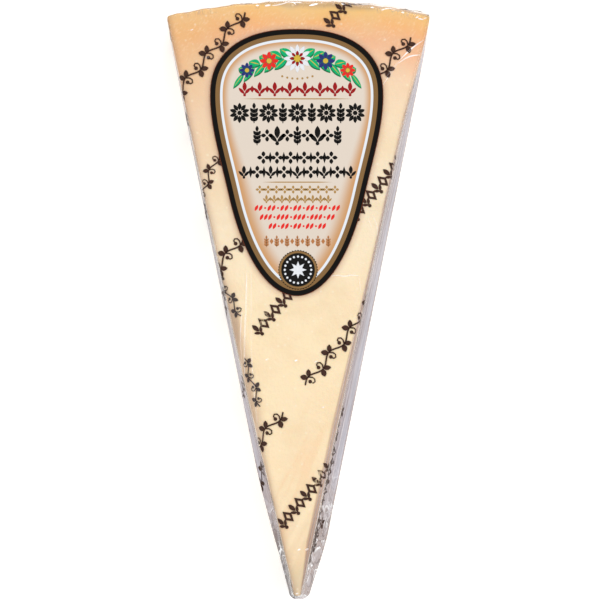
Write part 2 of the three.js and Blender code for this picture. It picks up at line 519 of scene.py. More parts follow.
def worn_edges(graph, size, across, up, from_rind):
    """How far the edges are rounded, across and down. Those of the front are worn, the left one most."""
    front = graph.fade(up, 0, 1)
    wear = []
    for side, edge, full in (("Left", -1, 0), ("Right", 1, 0.3)):
        off_middle = abs(from_rind - size[f"{side} Wear Middle"]) / size[f"{side} Wear Reach"]
        here = graph.fade(off_middle, 1, full) * graph.fade(across, 0, edge)
        wear.append(here * front)
    left, right = wear[0], wear[1] * size["Right Wear"]
    round_across = size["Edge Round"] + left * size["Left Wear Across"] + right
    round_down = size["Edge Round"] + left * size["Left Wear Down"] + right
    return round_across, round_down


def cut_flares(graph, size, from_rind):
    """How far the cuts stray from straight: the left one bows out, the right one flares at the rind."""
    left = graph.between(from_rind, 0, 0.050, 0.45, 1) * graph.fade(from_rind, 0.165, 0.112)
    right = graph.fade(from_rind, 0.034, 0.003)
    return left * size["Left Flare"], right * size["Right Flare"]


# %% The seams
def seam_width(graph, size, side, from_rind, flare):
    """How far a side's seam stands out, at a distance from the rind."""
    start, peak, peak_at, end = (size[f"{side} {part}"] for part in ("Start", "Peak", "Peak At", "End"))
    rising = graph.between(from_rind, 0, peak_at, start, peak)
    falling = graph.between(from_rind, peak_at, size["Wheel Radius"], 0, end - peak, smooth=True)
    width = (rising + falling) * graph.between(from_rind, 0, 0.010, 0.7, 1)
    return graph.most(width - flare, 0) + size["Belly"]


def seam_all_round(graph, size, across, from_rind, flat_lean, flares):
    """The seam's width on whichever side a point is: the two cuts, the tip or the rind."""
    to_right = graph.between(across, -1, 1)
    left = seam_width(graph, size, "Left", from_rind, flares[0])
    right = seam_width(graph, size, "Right", from_rind, flares[1])
    on_cuts = graph.between(to_right, 0, 1, left, right)
    on_rind = size["Rind Slack"] * graph.fade(to_right, 0, 1)
    to_tip = graph.most(graph.part(flat_lean, "Y") * -1, 0)
    to_rind = graph.most(graph.part(flat_lean, "Y"), 0)
    width = on_cuts + (size["Tip Seam"] - on_cuts) * to_tip
    return width + (on_rind - width) * to_rind


# %% Relief and folds
WANDER_LENGTH = 17 * MM  # over this length the seam wanders up and down by one radian
FOLD_PUSH = 0.15  # the share of a fold's height by which it pushes the film outwards


def slackness(graph, from_rind, fin):
    """Where the film is slack: on the seams near the tip, and a little at the rind."""
    near_tip = graph.fade(from_rind, 0.130, 0.164) * graph.between(fin, 0.0, 0.2)
    return graph.most(near_tip, graph.between(from_rind, 0.0012, 0.0) * 0.35)


def push_and_pull(graph, size, radial, sideways, rise, turn, slack):
    """Gentle relief everywhere, folds where the film is slack, and the rind's own wave.

    The folds lift and lower the film more than they push it out, so its outline stays even.
    """
    spot = graph.xyz(radial, turn * radial + sideways, rise + size["Seed"])
    relief = (graph.noise(spot, size["Relief Scale"], 4, 0.55) - 0.72) * size["Relief"]
    folds = (graph.drawn_out(spot, (0.4, 1.0, 0.5), 480, 2, 0.5, 0.9) - 0.5) * size["Folds"] * slack
    along_rind = graph.xyz(turn * size["Wheel Radius"])
    wave = (graph.noise(along_rind, 130, 2) - 0.6) * size["Rind Wave"]
    return relief, folds, wave


# %% The wedge tree
def wedge_tree():
    graph, size = start_tree("wedge of a wheel", WEDGE_SIZES)
    cube, inside, lean = cube_to_rows(graph, size)
    across, along, up = (graph.part(inside, axis) for axis in "XYZ")
    lean_across, lean_along, lean_up = (graph.part(lean, axis) for axis in "XYZ")
    flat_lean = graph.vector("NORMALIZE", graph.xyz(lean_across, lean_along))
    flat_across, flat_along = graph.part(flat_lean, "X"), graph.part(flat_lean, "Y")
    clearance, half_angle, half = size["Clearance"], size["Half Angle"], size["Thickness"] / 2

    from_rind = graph.between(along, -1, 1, size["Wheel Radius"] - size["Tip Radius"], 0)
    round_across, round_down = worn_edges(graph, size, across, up, from_rind)
    left_flare, right_flare = flares = cut_flares(graph, size, from_rind)
    fin = graph.most(1 - abs(up), 0) ** size["Seam Sharpness"]
    stand_off = seam_all_round(graph, size, across, from_rind, flat_lean, flares) * fin
    wander = graph.sine(from_rind / WANDER_LENGTH + across) * size["Seam Wander"] * fin
    barrel = graph.between(across, -1, 1)
    barrel = graph.between(barrel, 0, 1, size["Left Bulge"], size["Right Bulge"], smooth=True)
    barrel = barrel * (1 - up * up) * graph.most(flat_along, 0)

    # Polar place: outwards along the radius, sideways along the turn, and up.
    inner, outer = size["Tip Radius"] + round_across, size["Wheel Radius"] - round_across
    radial = graph.between(along, -1, 1, inner, outer)
    radial = radial + (round_across - clearance) * lean_along + stand_off * flat_along + barrel
    sideways = round_across * (lean_across - across) - clearance * lean_across + stand_off * flat_across
    sideways = sideways + graph.between(across, 0, 1, 0, right_flare)
    sideways = sideways - graph.between(across, 0, -1, 0, left_flare)
    rise = half + (half - round_down) * up + (round_down - clearance) * lean_up + wander
    turn = half_angle * across
    sine, cosine = graph.sine(turn), graph.cosine(turn)

    def in_frame(radial, sideways, rise=0.0):
        """A polar place in the frame that all pieces share."""
        x = AXIS_X + sine * radial + cosine * sideways
        return graph.xyz(x, WHEEL_Y + cosine * radial - sine * sideways, rise)

    # How far inside each cut a point is, and where the film would lie, cut at the seams and folded out.
    left_turn, right_turn = turn + half_angle, half_angle - turn
    from_left = graph.sine(left_turn) * radial + graph.cosine(left_turn) * sideways + left_flare
    from_right = graph.sine(right_turn) * radial - graph.cosine(right_turn) * sideways + right_flare
    unfold = graph.most(half - abs(rise - half), 0)
    unfolded = in_frame(radial + unfold * flat_along, sideways + unfold * flat_across)

    slack = slackness(graph, from_rind, fin)
    relief, folds, wave = push_and_pull(graph, size, radial, sideways, rise, turn, slack)
    push = relief + folds * FOLD_PUSH
    radial = radial + wave * graph.fade(from_rind, 0.012, 0.0) + push * lean_along
    sideways = sideways + push * lean_across
    rise = graph.most(rise + relief * lean_up + folds, clearance / 2)
    rise = graph.least(rise, size["Thickness"] - clearance / 2)

    numbers = {
        "fin": fin,
        "stand_off": stand_off,
        "slack": slack,
        "from_left": from_left,
        "from_right": from_right,
        "weld": fin * graph.most(flat_across, 0),
        "rind": graph.most(lean_along, 0),
        "web": graph.math("SIGN", up),
        "from_rind": from_rind,
    }
    vectors = {
        "unfolded": unfolded,
        "flow": graph.xyz(stand_off, from_rind, across * 0.01),
        "place": in_frame(radial, sideways, rise),
    }
    for name, value in numbers.items():
        cube = store(graph, cube, name, value)
    for name, value in vectors.items():
        cube = store(graph, cube, name, value, "FLOAT_VECTOR")
    final = {"Geometry": cube, "Position": stored(graph, "place", "FLOAT_VECTOR")}
    moved = graph.add("GeometryNodeSetPosition", {}, final)
    smooth = graph.add("GeometryNodeSetShadeSmooth", {}, {"Geometry": moved})
    return end_tree(graph, smooth, size["Material"])


wedge_of_wheel = wedge_tree()

# %% [markdown]
# ## The cheese
#
# The cheese is the wedge a little inside the film, with its left front edge worn down where wedges
# rub in their box. Its cuts belly out a hair at mid height, as a wire leaves them, and its rind is
# barrel-shaped and a little wavy.

# %% The cheese
cheese = made_by(
    wedge_of_wheel,
    "cheese_wedge",
    {
        "Clearance": 0.14 * MM,
        "Left Wear Across": 4.3 * MM,
        "Left Wear Down": 2.1 * MM,
        "Right Wear": 0.9 * MM,
        "Belly": 0.25 * MM,
        "Tip Seam": 0.25 * MM,
        "Seam Sharpness": 1.5,
        "Left Bulge": 0.45 * MM,
        "Right Bulge": 1.0 * MM,
        "Rind Wave": 1.6 * MM,
        "Relief": 0.4 * MM,
        "Relief Scale": 90.0,
        "Material": cheese_paste,
    },
)

# %% [markdown]
# ## The film
#
# Shrink film is clear where it lies tight on the cheese: only a faint gloss gives it away. Where it
# stands off, at the welded seams and in the crumpled folds near the tip, it turns milky and grey. A
# single shader does both. Where it is clear it is a mirror that is almost see-through; where it is
# milky it is a pale, nearly solid sheet. The fine lines along the weld come from a ramp that runs
# from the edge of the cheese to the outside of the seam. Over the right edge of the cheese the seam
# is folded back as a narrow lap, which has a ramp of its own. The milky colours are only partly the
# film's haze: the grey is painted shade and painted reflection, the tan near the cheese is the
# shaded cheese seen through the film and painted on, ramps darken the seams with more painted
# shade, and the folds carry painted light, painted shade and painted glints.

# %% Colours of the film
# Partly painted: the tan stops near the cheese are the shaded cheese seen through the film, and the greys are
# painted shade and painted reflection over the film's own haze
SEAM_COLOURS = [
    # from the cheese to the outside of the seam, colour
    (0.00, (0.50, 0.38, 0.33)),
    (0.05, (0.60, 0.43, 0.33)),
    (0.08, (0.34, 0.27, 0.27)),
    (0.11, (0.52, 0.41, 0.36)),
    (0.16, (0.32, 0.26, 0.28)),
    (0.24, (0.42, 0.35, 0.37)),
    (0.30, (0.31, 0.26, 0.29)),
    (0.40, (0.37, 0.33, 0.37)),
    (0.47, (0.68, 0.65, 0.69)),
    (0.52, (0.47, 0.45, 0.51)),
    (0.64, (0.60, 0.60, 0.67)),
    (0.80, (0.61, 0.62, 0.70)),
    (0.87, (0.70, 0.71, 0.78)),
    (0.92, (0.48, 0.41, 0.43)),
    (1.00, (0.42, 0.34, 0.35)),
]
# Painted: the tan and mauve lines are the shaded, rounded right edge of the cheese seen through the lap
LAP_COLOURS = [
    # across the lap over the right edge, from its inner side
    (0.00, (0.80, 0.62, 0.44)),
    (0.30, (0.62, 0.46, 0.36)),
    (0.50, (0.36, 0.29, 0.31)),
    (0.66, (0.66, 0.47, 0.35)),
    (0.82, (0.42, 0.34, 0.35)),
    (1.00, (0.50, 0.38, 0.33)),
]
# Painted shade on the milky seams
SEAM_SHADE_ALONG = [
    # from the rind to the tip, how dark the painted shade makes the seams
    (0.00, (0.84, 0.79, 0.78)),
    (0.30, (0.82, 0.76, 0.75)),
    (0.45, (0.84, 0.79, 0.78)),
    (0.58, (0.95, 0.92, 0.92)),
    (0.78, (0.97, 0.94, 0.95)),
    (0.87, (0.88, 0.81, 0.78)),
    (1.00, (0.74, 0.65, 0.61)),
]
SEAM_SHADE_ON_LEFT = [
    # the same painted shade, for the left seam in addition
    (0.00, (0.70, 0.68, 0.69)),
    (0.50, (0.62, 0.58, 0.59)),
    (0.62, (0.84, 0.79, 0.79)),
    (0.84, (0.98, 0.96, 0.96)),
    (0.90, (0.30, 0.27, 0.28)),
    (1.00, (0.28, 0.25, 0.26)),
]
LINE_DARK, LINE_PALE = (0.33, 0.26, 0.27), (0.76, 0.74, 0.80)
# Slack film, warmed by the painted shade of the cheese seen through it
SLACK_FILM_SHADE = (0.50, 0.41, 0.37)
# Painted light and shade on the folds: the lit side, the shaded side and the shadow lines
FOLD_LIT, FOLD_SHADED_SIDE, FOLD_SHADOW = (0.76, 0.76, 0.83), (0.44, 0.34, 0.31), (0.20, 0.155, 0.15)
WHITE = (1, 1, 1)
GLOSS, GLOSS_EDGE_ON = 0.03, 0.08


def ridge(graph, value, middle, outer, inner):
    """1 where a value is close to a middle one, and 0 away from it: a thin line in a noise."""
    return graph.between(abs(value - middle), outer, inner)


# %% Milky film
def lap_share(graph, place, from_rind, from_right):
    """How far across the lap over the right edge a point is. The lap widens towards the tip."""
    width = graph.between(from_rind, 0.070, 0.125, 0.8 * MM, 2.0 * MM)
    width = width * graph.between(from_rind, 0.178, 0.162, 0.1, 1)
    share = graph.between(from_right / width, 1, 0) * graph.between(from_rind, 0.020, 0.050)
    return share * near_front(graph, place, 1.2, 2.5)


def weld_colour(graph, fin, slack, lap):
    """The milky film along the weld, with fine lines and painted shade, and its folded lap over the right
    edge, with the shaded cheese edge painted on it.
    """
    milk = graph.ramp(fin, SEAM_COLOURS)
    lines = graph.drawn_out(carried(graph, "flow", "Vector"), (2400, 45, 300), 1.0, 3)
    taut = 0.5 - slack * 0.38
    milk = graph.mix(graph.between(lines, 0.52, 0.64) * taut, milk, LINE_DARK)
    milk = graph.mix(graph.between(lines, 0.45, 0.35) * taut, milk, LINE_PALE)
    milk = graph.mix(slack * 0.55, milk, SLACK_FILM_SHADE)
    return graph.mix(graph.between(fin, 0.0, 0.03), graph.ramp(lap, LAP_COLOURS), milk)


def crumpled(graph, milk, slack, folds, finer):
    """Long curved folds where the film is slack, with painted light on one side, painted shade on the other,
    and painted shadow lines.
    """
    pale = graph.between(folds, 0.52, 0.62) * graph.between(folds, 0.74, 0.66)
    milk = graph.mix(pale * slack * 0.6, milk, FOLD_LIT)
    milk = graph.mix(graph.between(folds, 0.46, 0.36) * slack * 0.6, milk, FOLD_SHADED_SIDE)
    shade = graph.most(ridge(graph, folds, 0.48, 0.030, 0.008), ridge(graph, finer, 0.47, 0.024, 0.008) * 0.5)
    return graph.mix(shade * slack * 0.75, milk, FOLD_SHADOW)


def milkiness(graph, place, from_rind, from_left, lap, clear, glint):
    """How milky the film is, from 0 where it is tight on the cheese."""
    haze = graph.between(carried(graph, "stand_off"), 0.01 * MM, 0.22 * MM, 0, 0.84)
    haze = haze * (1 - carried(graph, "rind") * 0.85)
    haze = graph.most(haze, graph.between(lap, 0.0, 0.2, 0, 0.62))
    pleats = graph.drawn_out(place, (1, 0.06, 1), 520, 2)
    on_left = graph.fade(from_left, 4.0 * MM, 1.2 * MM) * graph.between(from_rind, 0.074, 0.090)
    on_left = on_left * graph.between(from_rind, 0.134, 0.118) * near_front(graph, place, 1.2, 2.5)
    haze = graph.most(haze, on_left * graph.between(pleats, 0.42, 0.66, 0.04, 0.34))
    return graph.most(haze * (1 - clear * 0.9), glint * 0.95)


# %% Film finish
def film_finish():
    material, graph, place = new_material("shrink_film_clear")
    fin, slack, from_rind = (carried(graph, name) for name in ("fin", "slack", "from_rind"))
    from_left, from_right = carried(graph, "from_left"), carried(graph, "from_right")
    bent = graph.vector("MULTIPLY", place, (1, 0.42, 0.30))
    folds, finer = graph.noise(bent, 290, 1.5, 0.5, 1.8), graph.noise(bent, 620, 1, 0.5, 1.2)

    lap = lap_share(graph, place, from_rind, from_right)
    milk = crumpled(graph, weld_colour(graph, fin, slack, lap), slack, folds, finer)
    # Painted shade: the seams darken along their length, and the left seam more
    milk = graph.mix(1.0, milk, graph.ramp(from_rind / WHEEL_RADIUS, SEAM_SHADE_ALONG), "MULTIPLY")
    on_left = graph.between(from_right - from_left, -0.5 * MM, 0.5 * MM)
    milk = graph.mix(on_left, milk, graph.ramp(from_rind / WHEEL_RADIUS, SEAM_SHADE_ON_LEFT), "MULTIPLY")
    # Painted glints: white along some fold ridges where the film is slack
    glint = graph.most(ridge(graph, folds, 0.55, 0.034, 0.012), ridge(graph, finer, 0.53, 0.018, 0.006) * 0.6)
    glint = glint * graph.between(graph.noise(place, 230, 1), 0.47, 0.55) * slack
    milk = graph.mix(glint, milk, WHITE)
    clear = graph.between(folds, 0.66, 0.72) * slack
    haze = milkiness(graph, place, from_rind, from_left, lap, clear, glint)

    # A faint mirror lies over all of it, stronger where the film is seen edge-on.
    edge_on = graph.add("ShaderNodeLayerWeight", {}, {"Blend": 0.5}, "Facing")
    gloss = (GLOSS + edge_on**5 * GLOSS_EDGE_ON) * (1 - haze)
    alpha = gloss + haze
    mirror = gloss / alpha
    crinkle = graph.noise(place, 700, 3, 0.6)
    values = {
        "Base Color": graph.mix(mirror, milk, WHITE),
        "Metallic": mirror,
        "Roughness": graph.between(graph.noise(place, 40, 2), 0.3, 0.7, 0.07, 0.14),
        "Alpha": alpha,
        "Normal": bump(graph, (folds + crinkle * 0.3) * slack, 0.5, 0.6 * MM),
        "Coat Weight": 0.6,
        "Coat Roughness": 0.06,
    }
    end_material(graph, values)
    return material


shrink_film_clear = film_finish()

# %% [markdown]
# The film is the same wedge again, a fraction of a millimetre larger. Its seams are wider towards
# the tip, where the film had less cheese to shrink on, and wider on the right than on the left.

# %% The film
film = made_by(
    wedge_of_wheel,
    "shrink_film",
    {
        "Across": 56,
        "Along": 420,
        "Up": 57,
        "Edge Rows": 4,
        "Clearance": 0.06 * MM,
        "Edge Round": 0.9 * MM,
        "Left Wear Across": 3.8 * MM,
        "Left Wear Down": 1.6 * MM,
        "Right Wear": 0.8 * MM,
        "Left Start": 0.9 * MM,
        "Left Peak": 2.9 * MM,
        "Left End": 1.25 * MM,
        "Right Start": 1.6 * MM,
        "Right Peak": 4.0 * MM,
        "Right End": 2.3 * MM,
        "Tip Seam": 1.4 * MM,
        "Rind Slack": 0.35 * MM,
        "Left Bulge": 0.50 * MM,
        "Right Bulge": 1.10 * MM,
        "Seam Wander": 0.9 * MM,
        "Rind Wave": 1.6 * MM,
        "Folds": 1.0 * MM,
        "Material": shrink_film_clear,
    },
)

# %% [markdown]
# ## Small shapes for printing
#
# Everything printed is built from a few flat shapes, one millimetre or one unit high: lozenges,
# leaves, rings, rosettes, stars and bars. Each is a fan of triangles or a ring of quads, so it can
# be bent over the film later without tearing.


# %% Fans
def fan(points):
    """A flat shape that can be seen whole from its middle: corners, and triangles to the middle."""
    last = len(points)
    middle = (sum(x for x, y in points) / last, sum(y for x, y in points) / last)
    return [*points, middle], [(i, (i + 1) % last, last) for i in range(last)]


def around(count, radius_at):
    """Corners round the middle, at a radius that depends on the angle."""
    angles = [2 * math.pi * i / count for i in range(count)]
    return [(radius_at(a) * math.cos(a), radius_at(a) * math.sin(a)) for a in angles]


def lozenge(width, height):
    return fan([(width / 2, 0), (0, height / 2), (-width / 2, 0), (0, -height / 2)])


def bar(width, height):
    x, y = width / 2, height / 2
    return fan([(x, -y), (x, y), (-x, y), (-x, -y)])


def disc(radius, count=20):
    return fan(around(count, lambda angle: radius))


def rosette(radius, petals, depth, count):
    return fan(around(count, lambda angle: radius * (1 - depth + depth * math.cos(petals * angle))))


def star(points, radius, inner):
    corners = []
    for i in range(2 * points):
        reach, angle = (radius, inner)[i % 2], math.pi * (i / points + 0.5)
        corners.append((reach * math.cos(angle), reach * math.sin(angle)))
    return fan(corners)


def leaf(length, width, count=6):
    """A pointed leaf that lies along x, from 0 to its length."""
    shares = [i / count for i in range(count + 1)]
    upper = [(length * share, width / 2 * math.sin(math.pi * share) ** 0.8) for share in shares]
    lower = [(x, -y) for x, y in upper]
    return fan([*lower, *reversed(upper[1:-1])])


# %% Bands and strokes
def band(outer, inner):
    """A closed strip between two outlines with equally many corners."""
    count = len(outer)
    faces = [(i, (i + 1) % count, count + (i + 1) % count, count + i) for i in range(count)]
    return [*outer, *inner], faces


def ring(radius, thickness, count):
    return band(around(count, lambda angle: radius), around(count, lambda angle: radius - thickness))


def stroke(path, width):
    """A line of even width along a path of points."""
    left, right = [], []
    for i, (x, y) in enumerate(path):
        ahead = Vector(path[min(i + 1, len(path) - 1)]) - Vector(path[max(i - 1, 0)])
        ahead.normalize()
        left.append((x - ahead.y * width / 2, y + ahead.x * width / 2))
        right.append((x + ahead.y * width / 2, y - ahead.x * width / 2))
    last = len(path)
    faces = [(last + i, last + i + 1, i + 1, i) for i in range(last - 1)]
    return left + right, faces


# %% Placing shapes
def placed(shape, x=0.0, y=0.0, turn=0.0, size=1.0):
    """A flat shape, turned, sized and moved."""
    corners, faces = shape
    c, s = math.cos(turn) * size, math.sin(turn) * size
    return [(x + c * a - s * b, y + s * a + c * b) for a, b in corners], faces


def upside_down(shape):
    """A flat shape mirrored from top to bottom."""
    corners, faces = shape
    return [(x, -y) for x, y in corners], [tuple(reversed(face)) for face in faces]


def together(*shapes):
    """Several flat shapes as one."""
    corners, faces = [], []
    for more_corners, more_faces in shapes:
        start = len(corners)
        corners.extend(more_corners)
        faces.extend(tuple(start + i for i in face) for face in more_faces)
    return corners, faces


def flat_mesh(name, shape, cut=0):
    """A mesh of a flat shape, facing up, with its faces cut finer if asked."""
    corners, faces = shape
    mesh = bpy.data.meshes.new(name)
    work = bmesh.new()
    points = [work.verts.new((x, y, 0)) for x, y in corners]
    for face in faces:
        work.faces.new([points[i] for i in face])
    if cut:
        bmesh.ops.subdivide_edges(work, edges=work.edges, cuts=cut, use_grid_fill=True)
    for face in work.faces:
        if face.normal.z < 0:
            face.normal_flip()
    work.to_mesh(mesh)
    work.free()
    return mesh


# %% [markdown]
# ## Rows of ornament
#
# A frieze repeats a few shapes along a line. This tree puts them on the points of a line, picks
# each from a collection in turn, and can turn the shapes, taper the row and bend it. The label and
# the film both use it.

# %% The row tree
ROW_SIZES = {
    "Shapes": "NodeSocketCollection",
    "Kinds": 2,
    "Count": 8,
    "Width": 20 * MM,
    "Height": 3 * MM,
    "Across": 0.0,
    "Along": 0.0,
    "Lift": 0.0,
    "Bend": 0.0,
    "Slope": 0.0,
    "Turn": 0.0,
    "Sway": 0.0,
    "Taper": 0.0,
    "Overlap": 0.0,
    "Material": "NodeSocketMaterial",
}


def row_tree():
    graph, size = start_tree("row of ornament", ROW_SIZES)
    half = size["Width"] / 2
    ends = {"Count": size["Count"], 2: graph.xyz(half * -1), 3: graph.xyz(half)}
    line = graph.add("GeometryNodeMeshLine", {"mode": "END_POINTS"}, ends, "Mesh")
    box = {"Collection": size["Shapes"], "Separate Children": True, "Reset Children": True}
    index = graph.add("GeometryNodeInputIndex")
    swing = 1 - 2 * graph.math("MODULO", index, 2)
    high = size["Height"] * (1 - size["Taper"] * (index / (size["Count"] - 1)))
    values = {
        "Points": line,
        "Instance": graph.add("GeometryNodeCollectionInfo", {}, box),
        "Pick Instance": True,
        "Instance Index": graph.math("MODULO", index, size["Kinds"]),
        "Rotation": graph.xyz(z=size["Turn"] + size["Sway"] * swing),
        "Scale": graph.xyz(high, high, 1.0),
    }
    row = graph.add("GeometryNodeInstanceOnPoints", {}, values)
    above = graph.xyz(z=index * size["Overlap"])
    row = graph.add("GeometryNodeTranslateInstances", {}, {"Instances": row, "Translation": above})
    row = graph.add("GeometryNodeRealizeInstances", {}, {"Geometry": row})
    at = graph.add("GeometryNodeInputPosition")
    x, y, z = (graph.part(at, axis) for axis in "XYZ")
    share = x / half
    droop = (size["Bend"] * share + size["Slope"]) * share
    place = graph.xyz(size["Across"] + x, size["Along"] + y - droop, size["Lift"] + z)
    row = graph.add("GeometryNodeSetPosition", {}, {"Geometry": row, "Position": place})
    return end_tree(graph, row, size["Material"])


ornament_row = row_tree()


# %% Boxes of shapes
def shape_box(name, shapes, cut=0):
    """A collection of flat shapes, in the order in which a row uses them."""
    box = bpy.data.collections.new(name)
    bpy.context.scene.collection.children.link(box)
    for number, shape in enumerate(shapes):
        label = f"{name}_{number:02d}"
        box.objects.link(bpy.data.objects.new(label, flat_mesh(label, shape, cut)))
    return box


def empty_box(box):
    """Removes a collection of shapes once the rows are made."""
    for shape in list(box.objects):
        bpy.data.objects.remove(shape)
    bpy.data.collections.remove(box)


# %% [markdown]
# ## The pattern on the film
#
# The film is printed in dark brown with rows of ornament that climb to the right. There are two
# kinds of row, light long ones and short bold ones, and they alternate. The rows are laid out flat
# first, as a printer does, and then each point of the print is looked up on the unfolded film and
# carried to its place on the real one. So the print follows the rounded edges, the seams and the
# folds. What falls outside the film is deleted.


# %% Finish of the print
def ink_finish(name, colour, rough=0.38, wear=0.25, flaking=0.0):
    """Printing ink: one colour, a little uneven, thinner in places, and flaked off where it is creased."""
    material, graph, place = new_material(name)
    patchy, broad = graph.noise(place, 1500, 3, 0.6), graph.noise(place, 160, 2)
    paler = tuple(min(1.0, c * 1.35 + 0.02) for c in colour)
    worn = graph.between(patchy, 0.45, 0.75) * wear + broad * wear * 0.4
    values = {
        "Base Color": graph.mix(worn, colour, paler),
        "Roughness": graph.between(patchy, 0.3, 0.7, rough - 0.06, rough + 0.08),
        "Specular IOR Level": 0.12,
    }
    if flaking:
        creased = graph.between(graph.noise(place, 60, 1), 0.60, 0.68)
        flakes = graph.between(graph.noise(place, 1100, 2), 0.50, 0.56)
        values["Alpha"] = 1 - creased * flakes * flaking
    end_material(graph, values)
    return material


film_ink = ink_finish("film_ink_brown", (0.052, 0.023, 0.015), 0.3, flaking=0.9)
folded_ink = ink_finish("film_ink_folded", (0.060, 0.044, 0.042), 0.3, 0.5, flaking=0.9)

# %% Shapes for the film
STEM = [(i / 8 - 0.5, 0.2 * math.sin(math.pi * i / 8)) for i in range(9)]
TENDRIL = [(0.02, 0.17), (0.16, -0.02), (0.17, -0.2), (0.05, -0.32), (-0.08, -0.28), (-0.12, -0.16)]

# One bow of a running vine, from -0.5 to 0.5: a stem, two leaves, a tendril and a berry.
vine = together(
    stroke(STEM, 0.1),
    placed(leaf(0.5, 0.34), -0.04, 0.17, math.radians(122)),
    placed(leaf(0.5, 0.30), 0.02, 0.17, math.radians(42)),
    stroke(TENDRIL, 0.085),
    placed(disc(0.12, 10), -0.13, -0.08),
)
bud = together(
    placed(leaf(0.62, 0.3), 0, -0.12, math.pi / 2),
    placed(leaf(0.48, 0.2), 0, -0.3, math.radians(48)),
    placed(leaf(0.48, 0.2), 0, -0.3, math.radians(132)),
    placed(disc(0.12, 12), 0, -0.38),
)
pierced_lozenge = band(
    [(0.31, 0), (0, 0.5), (-0.31, 0), (0, -0.5)],
    [(0.13, 0), (0, 0.22), (-0.13, 0), (0, -0.22)],
)
light_shapes = shape_box("light_shapes", [vine, upside_down(vine)], 1)
bold_shapes = shape_box("bold_shapes", [bud, pierced_lozenge], 1)


# %% Rows for the film
def plain_row(name, box, ink, count, width, height):
    """A straight row of two shapes by turns, with its width and height in millimetres."""
    values = {"Shapes": box, "Count": count, "Width": width * MM, "Height": height * MM, "Material": ink}
    return made_by(ornament_row, name, {**values, "Kinds": 2})


light_row = plain_row("light_row", light_shapes, film_ink, 12, 52.8, 4.8)
bold_row = plain_row("bold_row", bold_shapes, film_ink, 9, 21.6, 4.5)
weld_row = plain_row("weld_row", bold_shapes, film_ink, 12, 33.0, 4.8)
short_row = plain_row("short_row", light_shapes, folded_ink, 4, 11.4, 3.8)

# %% Laying things on the film
LAYING_SIZES = {
    "Layout": "NodeSocketGeometry",
    "Film": "NodeSocketGeometry",
    "Web": 1.0,
    "Lift": 0.03 * MM,
    "Margin": 2.0,
}


def lay_on_film_tree():
    """A group that carries flat things, laid out as on unfolded film, to the film itself."""
    graph, size = start_tree("lay on film", LAYING_SIZES)
    other_web = graph.math("LESS_THAN", stored(graph, "web") * size["Web"], 0.25)
    cut = {"Geometry": size["Film"], "Selection": other_web}
    sheet = graph.add("GeometryNodeDeleteGeometry", {"domain": "FACE"}, cut)
    at = graph.add("GeometryNodeInputPosition")
    lookup = {"Mesh": sheet, "UV Map": stored(graph, "unfolded", "FLOAT_VECTOR"), "Sample UV": at}

    def film_has(value, kind="FLOAT_VECTOR"):
        """What the film has at the spot where a point of the layout comes to lie."""
        return graph.add("GeometryNodeSampleUVSurface", {"data_type": kind}, {**lookup, "Value": value})

    spot = film_has(at)
    facing = film_has(graph.add("GeometryNodeInputNormal"))
    printable = graph.math("LESS_THAN", film_has(stored(graph, "weld"), "FLOAT"), size["Margin"])
    kept = store(graph, size["Layout"], "on_film", spot.named("Is Valid") * printable)
    height = {0: facing, "Scale": graph.part(at, "Z") + size["Lift"]}
    lifted = graph.vector("ADD", spot, graph.add("ShaderNodeVectorMath", {"operation": "SCALE"}, height))
    laid = graph.add("GeometryNodeSetPosition", {}, {"Geometry": kept, "Position": lifted})
    outside = graph.math("LESS_THAN", stored(graph, "on_film"), 0.5)
    laid = graph.add("GeometryNodeDeleteGeometry", {}, {"Geometry": laid, "Selection": outside})
    graph.add("NodeGroupOutput", {}, {"Geometry": laid})
    return graph.tree


lay_on_film = lay_on_film_tree()


def shown_by(graph, piece, whole=False):
    """In a geometry tree, the mesh of an object, or the object as one instance."""
    return graph.add("GeometryNodeObjectInfo", {}, {"Object": piece, "As Instance": whole}, "Geometry")


def carried_to_film(graph, size, layout, more):
    """A flat layout, carried to the film."""
    values = {"Layout": layout, "Film": shown_by(graph, size["Film"]), "Lift": size["Lift"], **more}
    return graph.add("GeometryNodeGroup", {"node_tree": lay_on_film}, values)


# %% The tree for the film's print
PRINT_SIZES = {
    "Film": "NodeSocketObject",
    "Row": "NodeSocketObject",
    "Angle": math.radians(50),
    "Rows": 7,
    "Repeats": 9,
    "Row Spacing": 42.6 * MM,
    "Period": 68 * MM,
    "Start": 0.0,
    "First Row": 0.0,
    "Slide": 0.0,
    "Web": 1.0,
    "Lift": 0.04 * MM,
    "Margin": 0.04,
    "Material": "NodeSocketMaterial",
}


def film_print_tree():
    graph, size = start_tree("printed rows", PRINT_SIZES)
    layout = {
        "Size X": size["Period"] * (size["Repeats"] - 1),
        "Size Y": size["Row Spacing"] * (size["Rows"] - 1),
        "Vertices X": size["Repeats"],
        "Vertices Y": size["Rows"],
    }
    grid = graph.add("GeometryNodeMeshGrid", {}, layout, "Mesh")
    at = graph.add("GeometryNodeInputPosition")
    x, y = graph.part(at, "X"), graph.part(at, "Y")
    along = x + size["Start"] + size["Slide"] * (y / size["Row Spacing"])
    over = y + size["First Row"]
    cosine, sine = graph.cosine(size["Angle"]), graph.sine(size["Angle"])
    place = graph.xyz(along * cosine - over * sine, along * sine + over * cosine)
    points = graph.add("GeometryNodeSetPosition", {}, {"Geometry": grid, "Position": place})
    row = shown_by(graph, size["Row"], whole=True)
    values = {"Points": points, "Instance": row, "Rotation": graph.xyz(z=size["Angle"])}
    rows = graph.add("GeometryNodeInstanceOnPoints", {}, values)
    rows = graph.add("GeometryNodeRealizeInstances", {}, {"Geometry": rows})
    on_film = carried_to_film(graph, size, rows, {"Web": size["Web"], "Margin": size["Margin"]})
    return end_tree(graph, on_film, size["Material"])


printed_rows = film_print_tree()


